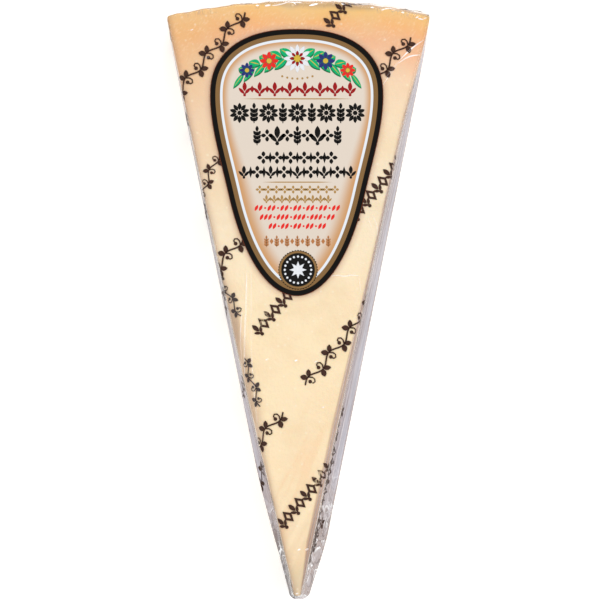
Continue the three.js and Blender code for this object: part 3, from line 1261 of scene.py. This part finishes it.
# %% Print the film
def joined(name, parts):
    """Several objects, each in one ink, as one piece. The parts are removed."""
    work = bmesh.new()
    mesh = bpy.data.meshes.new(name)
    for part in parts:
        ink = part.data.materials[0]
        if ink.name not in mesh.materials:
            mesh.materials.append(ink)
        first = len(work.faces)
        work.from_mesh(part.data)
        work.faces.ensure_lookup_table()
        for face in work.faces[first:]:
            face.material_index = mesh.materials.find(ink.name)
        bpy.data.objects.remove(part)
    work.to_mesh(mesh)
    work.free()
    print(name, "has", len(mesh.polygons), "faces")
    return new_object(name, mesh)


ROWS = {
    # kind of row: the row, its period, where it starts, its first row, its slide from row to row (mm)
    "light": (light_row, 68, 52.5, 24.9, 42),
    "bold": (bold_row, 44.4, -4.0, 3.7, -5),
}
BACK_START, BACK_FIRST_ROW = 23 * MM, 11 * MM
prints = []
for name, (row, period, start, first_row, slide) in ROWS.items():
    layout = {"Row": row, "Period": period * MM, "Slide": slide * MM, "Film": film, "Material": film_ink}
    layout.update({"Start": start * MM, "First Row": first_row * MM})
    prints.append(made_by(printed_rows, f"{name}_front", layout))
    on_back = {"Start": layout["Start"] + BACK_START, "First Row": layout["First Row"] + BACK_FIRST_ROW}
    prints.append(made_by(printed_rows, f"{name}_back", {**layout, **on_back, "Web": -1.0}))
    prints[-1].data.flip_normals()

# %% [markdown]
# Where the film is gathered, at the folds and along the weld, the print runs another way. There, six
# single rows are laid one by one, each by its middle on the unfolded film and its direction.

# %% Single rows
SINGLE_ROWS = {
    # name: row, ink, middle on the unfolded film (mm), direction (degrees)
    "side_fold": (short_row, film_ink, -27.0, 36.7, 66.0),
    "along_weld": (weld_row, film_ink, 15.9, -63.6, 76.5),
    "weld_marks": (short_row, film_ink, 20.0, -40.8, 74.5),
    "outer_fold": (short_row, film_ink, 15.3, -74.2, 62.0),
    "upper_fold": (short_row, folded_ink, -21.6, 1.6, -56.0),
    "lower_fold": (short_row, folded_ink, -14.4, -24.6, -70.0),
}
for name, (row, ink, x, y, degrees) in SINGLE_ROWS.items():
    angle = math.radians(degrees)
    layout = {"Row": row, "Rows": 1, "Repeats": 1, "Angle": angle, "Margin": 2.0, "Lift": 0.05 * MM}
    layout["Start"] = (x * math.cos(angle) + y * math.sin(angle)) * MM
    layout["First Row"] = (y * math.cos(angle) - x * math.sin(angle)) * MM
    prints.append(made_by(printed_rows, name, {**layout, "Film": film, "Material": ink}))
film_print = joined("film_print", prints)
for maker in (light_row, bold_row, weld_row, short_row):
    bpy.data.objects.remove(maker)
empty_box(light_shapes)
empty_box(bold_shapes)

# %% [markdown]
# ## Creases in the film
#
# Here and there the tight film is pinched into a fine crease. Each crease is a low, pointed ridge
# along a short path, with a painted highlight: it is near-white and glows a little. The same
# ridges carry the painted glints beside the rind and the tiny bright specks. The paths are drawn on
# the flat layout, in millimetres, and carried to the film as the print is.


# %% Crease finish
def crease_glint_finish():
    material, graph, place = new_material("film_crease")
    broken = graph.noise(place, 160, 2)
    # Painted highlight: near-white with a little glow, though a crease is no lamp
    values = {
        "Base Color": graph.mix(broken, (0.92, 0.90, 0.92), (1.0, 0.99, 0.98)),
        "Roughness": 0.12,
        "Emission Color": WHITE,
        "Emission Strength": 0.22,
        "Alpha": graph.between(broken, 0.35, 0.65, 0.4, 1.0) * carried(graph, "shine"),
    }
    end_material(graph, values)
    return material


film_crease = crease_glint_finish()

# %% Crease paths
CREASES = [
    # points (mm), width (mm), how white it is
    ([(-15.6, 8.5), (-15.9, -3), (-16.4, -12), (-17.6, -24)], 0.6, 0.45),
    ([(-17.0, -3), (-17.9, -12), (-18.3, -20)], 0.45, 0.35),
    ([(-14.3, 8.5), (-14.3, -8), (-14.1, -22), (-13.2, -36), (-12.6, -40)], 0.5, 0.25),
    ([(-16.2, -32), (-14.6, -41), (-12.0, -49), (-9.0, -58)], 0.5, 0.4),
    ([(9.5, 7.1), (11.6, 7.35), (13.4, 7.1), (15.6, 7.4), (17.8, 7.2)], 0.42, 1.0),
    ([(17.9, 7.0), (18.2, 2.4)], 0.3, 0.5),
    ([(21.8, 25.3), (23.0, 22.4), (23.4, 19.3)], 0.25, 0.5),
    ([(20.4, 24.6), (21.6, 21.6)], 0.2, 0.5),
    ([(30.0, 71.6), (32.4, 73.9), (34.6, 75.8), (37.0, 77.4)], 0.45, 1.2),
    ([(29.4, 70.4), (31.6, 71.9), (33.6, 72.7), (36.2, 73.0)], 0.45, 1.2),
    ([(30.2, 71.6), (28.0, 69.2), (26.0, 66.6)], 0.3, 0.6),
    ([(29.4, 70.4), (26.4, 66.2), (24.6, 63.6)], 0.3, 0.4),
    ([(-10.5, -60), (-9.6, -66), (-8.4, -72)], 0.35, 0.35),
    ([(8.3, -52), (7.2, -60), (5.6, -69)], 0.35, 0.35),
    ([(-5.5, -75), (-3.6, -80), (-1.6, -86)], 0.3, 0.35),
    ([(4.2, -76), (3.0, -81), (0.6, -87)], 0.3, 0.35),
    # A wide painted glint on the seam near the tip, and a smaller one beside it
    ([(15.0, -79.5), (14.6, -83.0), (13.6, -87.0)], 1.6, 1.2),
    ([(13.2, -77.0), (12.4, -80.5), (12.0, -84.0)], 0.7, 0.9),
]
ALONG_RIND = [
    # points (mm), width (mm), for the creases beside the rind that carry painted glints
    ([(-10.3, 87.7), (-9.4, 87.8), (-8.5, 88.0)], 0.50),
    ([(-8.2, 87.8), (-6.4, 88.1), (-4.6, 88.5), (-3.7, 88.9)], 0.32),
    ([(-4.6, 89.0), (-2.8, 89.2), (-1.6, 88.8), (-1.0, 88.1)], 0.36),
    ([(-1.6, 88.9), (-0.4, 89.1), (0.8, 88.7)], 0.32),
    ([(2.9, 87.9), (4.1, 88.2), (5.6, 88.4)], 0.50),
    ([(6.7, 89.3), (6.6, 88.7)], 0.42),
    ([(-13.0, 88.0), (-12.0, 88.1)], 0.42),
    ([(12.4, 88.4), (13.7, 88.0)], 0.36),
    ([(21.6, 87.3), (22.2, 87.2)], 0.40),
    ([(25.0, 86.7), (27.0, 87.3), (28.6, 86.9)], 0.34),
    ([(30.6, 85.9), (31.3, 85.6)], 0.36),
    ([(35.4, 84.0), (37.0, 83.6)], 0.34),
]
# Tiny film blisters, each a short ridge with a painted glint
BLISTER_GLINTS = [(-9.65, -17.7), (-1.0, -18.0), (5.0, -18.3), (7.1, -31.9), (-0.1, -74.3)]
BLISTER_GLINTS += [(2.3, -74.2), (-0.7, -87.4), (24.9, 86.7), (30.8, 86.0), (37.5, 84.1)]
BLISTER_GLINTS += [(35.1, 84.4), (21.7, 87.4), (-32.0, 80.6), (-27.4, 72.2)]
CREASES += [(path, width * 1.25, 1.4) for path, width in ALONG_RIND]
CREASES += [([(x - 0.5, y - 0.2), (x, y), (x + 0.5, y + 0.2)], 0.5, 1.0) for x, y in BLISTER_GLINTS]


def put_on_points(mesh, name, values):
    """Gives each point of a mesh a number."""
    mesh.attributes.new(name, "FLOAT", "POINT").data.foreach_set("value", values)


def crease_lines():
    """The crease paths as lines of edges, with the width of each crease on its points."""
    mesh = bpy.data.meshes.new("crease_lines")
    points, edges, widths, shines = [], [], [], []
    for path, width, shine in CREASES:
        start = len(points)
        points.extend((x * MM, y * MM, 0) for x, y in path)
        edges.extend((start + i, start + i + 1) for i in range(len(path) - 1))
        widths.extend([width * MM] * len(path))
        shines.extend([shine] * len(path))
    mesh.from_pydata(points, edges, [])
    put_on_points(mesh, "width", widths)
    put_on_points(mesh, "shine", shines)
    return new_object("crease_lines", mesh)


# %% The crease tree
CREASE_SIZES = {
    "Paths": "NodeSocketObject",
    "Film": "NodeSocketObject",
    "Step": 0.3 * MM,
    "Lift": 0.06 * MM,
    "Material": "NodeSocketMaterial",
}
RIDGE_HEIGHT = 0.35  # as a share of the ridge's width


def crease_tree():
    graph, size = start_tree("film creases", CREASE_SIZES)
    curves = graph.add("GeometryNodeMeshToCurve", {}, {"Mesh": shown_by(graph, size["Paths"])})
    curves = graph.add("GeometryNodeCurveSplineType", {"spline_type": "CATMULL_ROM"}, {"Curve": curves})
    steps = {"Curve": curves, "Length": size["Step"]}
    curves = graph.add("GeometryNodeResampleCurve", {"mode": "LENGTH"}, steps)
    along = graph.add("GeometryNodeSplineParameter", output="Factor")
    taper = graph.math("SQRT", graph.most(graph.sine(along * math.pi), 0.02))
    profile = graph.add("GeometryNodeJoinGeometry")
    top = (0, RIDGE_HEIGHT, 0)
    for start, end in ((top, (0.5, 0, 0)), ((-0.5, 0, 0), top)):
        slope = graph.add("GeometryNodeCurvePrimitiveLine", {}, {"Start": start, "End": end})
        graph.tree.links.new(slope.socket, profile.socket.node.inputs[0])
    level = graph.add("GeometryNodeSetCurveNormal", {"mode": "Z_UP"}, {"Curve": curves})
    values = {"Curve": level, "Profile Curve": profile, "Scale": stored(graph, "width") * taper}
    ridges = graph.add("GeometryNodeCurveToMesh", {}, values)
    on_film = carried_to_film(graph, size, ridges, {"Web": 1.0})
    smooth = graph.add("GeometryNodeSetShadeSmooth", {}, {"Geometry": on_film})
    return end_tree(graph, smooth, size["Material"])


crease_paths = crease_lines()
crease_values = {"Paths": crease_paths, "Film": film, "Material": film_crease}
creases = made_by(crease_tree(), "film_creases", crease_values)
bpy.data.objects.remove(crease_paths)

# %% [markdown]
# ## The label
#
# The label is a paper egg: round at the top, slimmer and pointed at the foot. Its borders follow its
# edge at fixed distances, so each point of the mesh carries its distance from the edge and the
# finish draws the bands from it: black, bronze with fine hatching, a white line, then a warm glow
# that fades to cream.

# %% Outline of the label
LABEL_LENGTH = 79.5
LABEL_WIDTH = 51.6
LABEL_SHIFT = Vector((-0.2, 0.3))
LABEL_SHOULDER = 19.9
LABEL_TOP_POWER = 2.35
LABEL_PINCH = 0.095
LABEL_STEPS = 90
LABEL_TOP = label_high.y
LABEL_FACE = label_high.z - 0.07 * MM
print("label:", round(label_high.x - label_low.x, 4), "by", round(label_high.y - label_low.y, 4))


def smoothstep(value):
    """A soft step from 0 to 1."""
    value = min(1.0, max(0.0, value))
    return value * value * (3 - 2 * value)


def label_half_width(from_top):
    """Half the label's width, at a distance below its top, in millimetres."""
    if from_top < LABEL_SHOULDER:
        up = 1 - from_top / LABEL_SHOULDER
        return LABEL_WIDTH / 2 * (1 - up**LABEL_TOP_POWER) ** (1 / LABEL_TOP_POWER)
    down = (from_top - LABEL_SHOULDER) / (LABEL_LENGTH - LABEL_SHOULDER)
    pinch = 1 - LABEL_PINCH * smoothstep(down / 0.5)
    return LABEL_WIDTH / 2 * math.sqrt(max(0.0, 1 - down**2)) * pinch


def label_outline():
    """The label's edge, counterclockwise from its top, in metres."""
    downs = [LABEL_LENGTH * (1 - math.cos(math.pi * i / LABEL_STEPS)) / 2 for i in range(LABEL_STEPS + 1)]
    left = [Vector((-label_half_width(d), -d)) for d in downs]
    right = [Vector((-p.x, p.y)) for p in reversed(left[1:-1])]
    return [Vector((AXIS_X, LABEL_TOP)) + (p + LABEL_SHIFT) * MM for p in left + right]


def evenly(points, count):
    """The same closed path with its points at equal distances."""
    closed = [*points, points[0]]
    reach = [0.0]
    for a, b in zip(closed, closed[1:]):
        reach.append(reach[-1] + (b - a).length)
    path, k = [], 0
    for i in range(count):
        want = reach[-1] * i / count
        while reach[k + 1] < want:
            k += 1
        share = (want - reach[k]) / (reach[k + 1] - reach[k])
        path.append(closed[k].lerp(closed[k + 1], share))
    return path


# %% Paper
GLOW, CREAM, CREAM_CLOUD = (0.58, 0.29, 0.11), (0.72, 0.63, 0.54), (0.64, 0.53, 0.41)
BRONZE, BRONZE_LINE = (0.19, 0.10, 0.035), (0.27, 0.155, 0.06)
BLACK, BLACK_LINE = (0.003, 0.0025, 0.002), (0.010, 0.008, 0.006)
WHITE_LINE, WHITE_FIBRE = (0.72, 0.76, 0.82), (0.78, 0.82, 0.87)
CUT_EDGE = (0.16, 0.035, 0.012)
BAND_STARTS = [(0.10, 0.20), (1.56, 1.64), (2.94, 3.02), (3.70, 3.80)]  # mm from the label's edge


def label_finish():
    material, graph, place = new_material("label_paper")
    inset = carried(graph, "inset")
    fibre, cloud = graph.noise(place, 1100, 4, 0.6), graph.noise(place, 90, 3)
    crossed = graph.vector("MULTIPLY", place, (1, -1, 0))
    lines = {"Vector": crossed, "Scale": 1100, "Distortion": 0.4, "Detail": 1}
    kind = {"wave_type": "BANDS", "bands_direction": "DIAGONAL"}
    hatch = graph.add("ShaderNodeTexWave", kind, lines, "Fac")
    lower = graph.between(graph.part(place, "Y"), LABEL_TOP - 0.025, LABEL_TOP - 0.05)
    fade = graph.fade(inset, 3.5, 6.2 + lower * 2.2)
    glow = graph.mix(cloud * 0.12, graph.mix(fade, GLOW, CREAM), CREAM_CLOUD)
    bronze = graph.mix(hatch, BRONZE, BRONZE_LINE)
    black = graph.mix(hatch * 0.3, BLACK, BLACK_LINE)
    white = graph.mix(fibre, WHITE_LINE, WHITE_FIBRE)
    colour = CUT_EDGE
    for (outer, inner), band_colour in zip(BAND_STARTS, (black, bronze, white, glow)):
        colour = graph.mix(graph.between(inset, outer, inner), colour, band_colour)
    values = {
        "Base Color": colour,
        "Roughness": graph.between(fibre, 0.3, 0.7, 0.34, 0.44),
        "Normal": bump(graph, fibre, 0.12, 0.2 * MM),
        "Specular IOR Level": 0.12,
    }
    end_material(graph, values)
    return material


# %% Label sheet
EDGE_POINTS = 320
SHEET_RINGS = [0.05, 1, 2, 3, 4, 5, 6, 7, 8]


def label_sheet_mesh():
    """Rings that follow the edge inwards, each point with its distance from the edge in mm."""
    edge = evenly(label_outline(), EDGE_POINTS)
    inward = []
    for i in range(EDGE_POINTS):
        along = (edge[(i + 1) % EDGE_POINTS] - edge[i - 1]).normalized()
        inward.append(Vector((-along.y, along.x)))
    rings = [(0.0, label_low.z), (0.0, LABEL_FACE - 0.05 * MM)]
    rings += [(inset, LABEL_FACE) for inset in SHEET_RINGS]
    corners, insets = [], []
    for inset, height in rings:
        for point, way in zip(edge, inward):
            corners.append((*(point + way * inset * MM), height))
            insets.append(inset)
    last = len(corners) - EDGE_POINTS
    faces = []
    for start in range(0, last, EDGE_POINTS):
        for i in range(EDGE_POINTS):
            a, b = start + i, start + (i + 1) % EDGE_POINTS
            faces.append((a, b, b + EDGE_POINTS, a + EDGE_POINTS))
    faces.append(tuple(range(last, len(corners))))
    faces.append(tuple(reversed(range(EDGE_POINTS))))
    mesh = bpy.data.meshes.new("label_sheet")
    mesh.from_pydata(corners, [], faces)
    put_on_points(mesh, "inset", insets)
    return mesh


label_sheet = new_object("label_sheet", label_sheet_mesh())
label_sheet.data.materials.append(label_finish())

# %% [markdown]
# The label keeps the light off the cheese right beside it. For that the cheese has to know how far
# each of its points is from the label's edge. A search tree of points on the edge answers it.

# %% The cheese next to the label
GAP_REACH = 5.0


def measure_label_gap(piece):
    """Stores how far each point of a piece is from the label's edge, in millimetres."""
    edge = evenly(label_outline(), 2 * EDGE_POINTS)
    tree = KDTree(len(edge))
    for number, point in enumerate(edge):
        tree.insert((point.x, point.y, 0), number)
    tree.balance()
    gaps = []
    for x, y, z in (vertex.co for vertex in piece.data.vertices):
        on_front = z > THICKNESS / 2
        gaps.append(min(tree.find((x, y, 0))[2] / MM, GAP_REACH) if on_front else GAP_REACH)
    put_on_points(piece.data, "label_gap", gaps)
    print(piece.name, "has", sum(gap < 1 for gap in gaps), "points within 1 mm of the label's edge")


measure_label_gap(cheese)

# %% [markdown]
# ## What is printed on the label
#
# The label carries friezes, fine rules, a garland of leaves and flowers, and a dark badge.
# All of it is flat colour on the paper, each ink a hair above the one below.

# %% Inks
INK_COLOURS = {
    "black": (0.004, 0.0035, 0.003),
    "crimson": (0.30, 0.006, 0.008),
    "red": (0.72, 0.024, 0.018),
    "gold": (0.40, 0.23, 0.07),
    "yellow": (0.60, 0.42, 0.05),
    "bronze": (0.25, 0.14, 0.05),
    "rust": (0.44, 0.18, 0.065),
    "green": (0.003, 0.39, 0.145),
    "forest": (0.010, 0.14, 0.05),
    "navy": (0.02, 0.03, 0.16),
    "white": (0.72, 0.74, 0.78),
}
INKS = {name: ink_finish("label_ink_" + name, colour) for name, colour in INK_COLOURS.items()}
INK_STEP = 0.008 * MM
print_parts = []


def print_shape(name, shape, ink, across, down, layer=1):
    """Prints a flat shape in one ink, at a place on the label in millimetres."""
    mesh = flat_mesh(name, placed(shape, AXIS_X + across * MM, LABEL_TOP - down * MM, 0, MM))
    for vertex in mesh.vertices:
        vertex.co.z = LABEL_FACE + layer * INK_STEP
    mesh.materials.append(INKS[ink])
    print_parts.append(new_object(name, mesh))


def print_row(name, shapes, ink, count, width, height, down, across=0.0, lift=0.0, bent=None):
    """Prints a row of ornament in one ink, at a place on the label in millimetres."""
    box = shape_box(name + "_shapes", shapes)
    values = {
        "Shapes": box,
        "Kinds": len(shapes),
        "Count": count,
        "Width": width * MM,
        "Height": height * MM,
        "Across": AXIS_X + across * MM,
        "Along": LABEL_TOP - down * MM,
        "Lift": LABEL_FACE + INK_STEP + lift * MM,
        "Material": INKS[ink],
    }
    print_parts.append(made_by(ornament_row, name, {**values, **(bent or {})}))
    empty_box(box)


# %% Shapes for the friezes
def flower(petals, length, width, start):
    """Petals round a middle, each starting a little away from it."""
    angles = [2 * math.pi * i / petals + math.pi / 2 for i in range(petals)]
    petal = leaf(length, width)
    return together(*[placed(petal, start * math.cos(a), start * math.sin(a), a) for a in angles])


def wheat_ear(pairs, grain, width):
    """Grains in pairs up a stalk, and one at the top."""
    parts = [placed(bar(0.05, 0.8), 0, -0.1)]
    for i in range(pairs):
        y = -0.42 + 0.62 * i / pairs
        parts += [placed(leaf(grain, width), 0, y, math.radians(90 - side * 38)) for side in (1, -1)]
    return together(*parts, placed(leaf(grain, width), 0, 0.5 - grain, math.pi / 2))


sun_flower = together(flower(10, 0.37, 0.19, 0.13), placed(disc(0.115, 14)))
tulip = together(
    placed(leaf(0.66, 0.3), 0, -0.16, math.pi / 2),
    placed(leaf(0.6, 0.22), 0, -0.34, math.radians(46)),
    placed(leaf(0.6, 0.22), 0, -0.34, math.radians(134)),
    placed(disc(0.1, 12), 0, -0.41),
)
ear = wheat_ear(3, 0.31, 0.17)
cross_leaf = flower(4, 0.42, 0.3, 0.07)
small_cross = placed(cross_leaf, size=0.66)
small_lozenge, slim_lozenge = lozenge(0.34, 0.5), lozenge(0.3, 0.9)
dot = disc(0.15, 12)
lean_leaf = placed(leaf(1.0, 0.42), -0.25, -0.43, math.radians(62))

# %% Friezes and fine rules
FRIEZES = [
    # shapes, ink, count, width, height, down from the top
    ([tulip, small_lozenge], "crimson", 15, 31.4, 4.3, 17.6),
    ([sun_flower, ear], "black", 9, 34.4, 6.1, 24.7),
    ([ear, small_cross, tulip, small_cross], "black", 9, 24.0, 5.8, 31.4),
    ([cross_leaf, slim_lozenge], "black", 11, 20.2, 3.9, 38.0),
    ([tulip, slim_lozenge, cross_leaf, slim_lozenge], "black", 17, 31.8, 3.9, 42.3),
    ([cross_leaf, dot], "gold", 19, 22.4, 2.5, 47.5),
    ([tulip, small_lozenge], "gold", 17, 18.4, 2.5, 50.3),
    ([lean_leaf, lean_leaf, dot], "red", 20, 24.3, 2.1, 53.0),
    ([lean_leaf, lean_leaf, lean_leaf, dot], "red", 18, 21.2, 2.1, 55.7),
    ([lean_leaf, lean_leaf, dot], "red", 14, 16.0, 2.1, 58.4),
    ([ear, small_lozenge], "rust", 13, 18.4, 3.5, 62.9),
]
RULES = [(20.5, 33.2), (45.3, 21.0)]  # down from the top, width
for number, frieze in enumerate(FRIEZES):
    print_row(f"frieze_{number}", *frieze)
for number, (down, width) in enumerate(RULES):
    end, taper, thin = width / 2, width * 0.3, 0.16
    upper = [(end, 0), (taper, thin), (-taper, thin)]
    print_shape(f"rule_{number}", fan(upper + [(-x, -y) for x, y in upper]), "gold", 0, down)

# %% [markdown]
# Over the friezes hangs a garland: leaves along two drooping stems, and five flowers among them.
# Leaves along a stem are a repeated shape on a path, so nodes place them again: a row of points that
# slopes and bends, with a leaf on each, turned to one side and the other by turns. The ink goes down
# in three passes: a dark shadow, the leaf and its vein. The flowers hide where the stems meet.

# %% Garland leaves
GARLAND_PASSES = [
    # ink, shape, lift and shift down in millimetres
    ("forest", leaf(1.0, 0.52), -0.001, 0.34),
    ("green", leaf(1.0, 0.46), 0.0, 0.0),
    ("yellow", placed(leaf(0.86, 0.055), 0.06), 0.001, 0.0),
]
GARLAND_BENT = {"Slope": 2.4 * MM, "Bend": 1.0 * MM, "Taper": 0.2, "Overlap": 0.003 * MM}
GARLAND_LEAVES, GARLAND_LENGTH, LEAF_LENGTH = 10, 14.6, 4.9
GARLAND_DOWN, GARLAND_ACROSS = 9.4, 8.6
for ink, shape, lift, shift in GARLAND_PASSES:
    for side, turn in ((-1, math.pi), (1, 0.0)):
        bent = {**GARLAND_BENT, "Turn": turn, "Sway": side * math.radians(36)}
        size = (GARLAND_LEAVES, GARLAND_LENGTH * side, LEAF_LENGTH)
        middle = (GARLAND_DOWN + shift, GARLAND_ACROSS * side)
        print_row(f"garland_{side}_{ink}", [shape], ink, *size, *middle, lift, bent)

# %% Garland flowers
GARLAND_FLOWERS = [
    # across, down from the top, size, petals, ink
    (0.0, 8.5, 4.2, 12, "white"),
    (-8.4, 9.2, 2.8, 8, "red"),
    (8.4, 9.2, 2.8, 8, "navy"),
    (-15.0, 12.0, 2.3, 8, "navy"),
    (15.0, 12.0, 2.3, 8, "red"),
]
for number, (across, down, size, petals, ink) in enumerate(GARLAND_FLOWERS):
    blossom = placed(flower(petals, 0.75, 3.6 / petals, 0.25), size=size)
    print_shape(f"blossom_ground_{number}", disc(0.62 * size, 24), "forest", across, down, 5)
    print_shape(f"blossom_{number}", blossom, ink, across, down, 6)
    print_shape(f"blossom_middle_{number}", disc(0.27 * size), "yellow", across, down, 7)
print_shape("blossom_heart", placed(flower(8, 0.36, 0.2, 0.2), size=4.2), "crimson", 0, 8.5, 7)
beads = together(*[placed(disc(0.32, 12), x, 0.035 * x * x) for x in (-4.5, -3, -1.5, 0, 1.5, 3, 4.5)])
print_shape("beads", beads, "gold", 0, 14.5, 3)

# %% Badge
BADGE_AT = (0.2, 71.4)
pearls = together(*[placed(disc(0.34, 10), x, y) for x, y in around(20, lambda angle: 3.95)])
print_shape("badge_edge", rosette(5.95, 44, 0.022, 264), "black", *BADGE_AT, 2)
print_shape("badge_ring", ring(5.62, 0.62, 72), "bronze", *BADGE_AT, 3)
print_shape("badge_pearls", pearls, "white", *BADGE_AT, 3)
print_shape("badge_star", star(8, 2.6, 1.3), "white", *BADGE_AT, 3)
label_print = joined("label_print", print_parts)

# %% [markdown]
# ## Fixing the pieces to the frame
#
# Each piece rides on the one body of this part. The cheese and its film stand for the plain wedge,
# and the paper stands for the plain label.

# %% Ride on the frame
for piece in (cheese, film, film_print, creases, label_sheet, label_print):
    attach(piece, "root")
for piece in (cheese, film):
    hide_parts("wrapped_wedge")
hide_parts("front_label")

# %% [markdown]
# ## Floor, light and camera
#
# The wedge lies on a white floor under a plain studio: an even sky and large soft lamps from the
# sides, low enough that the flat film doesn't mirror them straight up. The camera looks down from
# two metres with a long lens, so there is almost no perspective.

# %% Floor
FLOOR_REACH, FLOOR_HEIGHT = 3, -0.2 * MM


def floor_finish():
    material, graph, place = new_material("floor_white")
    values = {
        "Base Color": graph.mix(graph.noise(place, 6, 2), (0.95, 0.95, 0.95), (0.97, 0.97, 0.97)),
        "Roughness": 0.9,
        "Specular IOR Level": 0.1,
        "Emission Color": WHITE,
        "Emission Strength": 0.30,
    }
    end_material(graph, values)
    return material


floor_mesh = bpy.data.meshes.new("floor")
quarters = ((-1, -1), (1, -1), (1, 1), (-1, 1))
floor_corners = [(x * FLOOR_REACH, y * FLOOR_REACH, FLOOR_HEIGHT) for x, y in quarters]
floor_mesh.from_pydata(floor_corners, [], [(0, 1, 2, 3)])
floor_mesh.materials.append(floor_finish())
floor = new_object("floor", floor_mesh)

# %% Lights
SOFT_LAMPS = {
    # name: place, power, size
    "lamp_left": ((-0.75, 0.25, 0.75), 3.05, 0.7),
    "lamp_right": ((0.80, 0.10, 0.70), 4.1, 0.7),
    "lamp_back": ((0.05, 0.95, 0.70), 2.6, 0.5),
    "lamp_front": ((0.10, -0.95, 0.85), 2.1, 0.7),
}
for name, (place, power, size) in SOFT_LAMPS.items():
    lamp = bpy.data.lights.new(name, "AREA")
    lamp.energy = power
    lamp.size = size
    holder = bpy.data.objects.new(name, lamp)
    holder.location = place
    holder.rotation_euler = (-Vector(place)).to_track_quat("-Z", "Y").to_euler()
    bpy.context.scene.collection.objects.link(holder)

world = bpy.data.worlds.new("studio")
bpy.context.scene.world = world
world.use_nodes = True
world.node_tree.nodes.clear()
sky = Graph(world.node_tree)
glow = sky.add("ShaderNodeBackground", {}, {"Color": WHITE, "Strength": 0.55})
sky.add("ShaderNodeOutputWorld", {}, {"Surface": glow})
bpy.context.scene.view_settings.view_transform = "Standard"

# %% Camera
VIEW_WIDTH, VIEW_PLANE = 179.28 * MM, 20 * MM
CAMERA_AT = (0.2 * MM, 0.0, 2.2)
SENSOR = 36
camera_data = bpy.data.cameras.new("camera")
camera_data.sensor_width = SENSOR
camera_data.lens = SENSOR * (CAMERA_AT[2] - VIEW_PLANE) / VIEW_WIDTH
camera = bpy.data.objects.new("camera", camera_data)
camera.location = CAMERA_AT
bpy.context.scene.collection.objects.link(camera)
bpy.context.scene.camera = camera
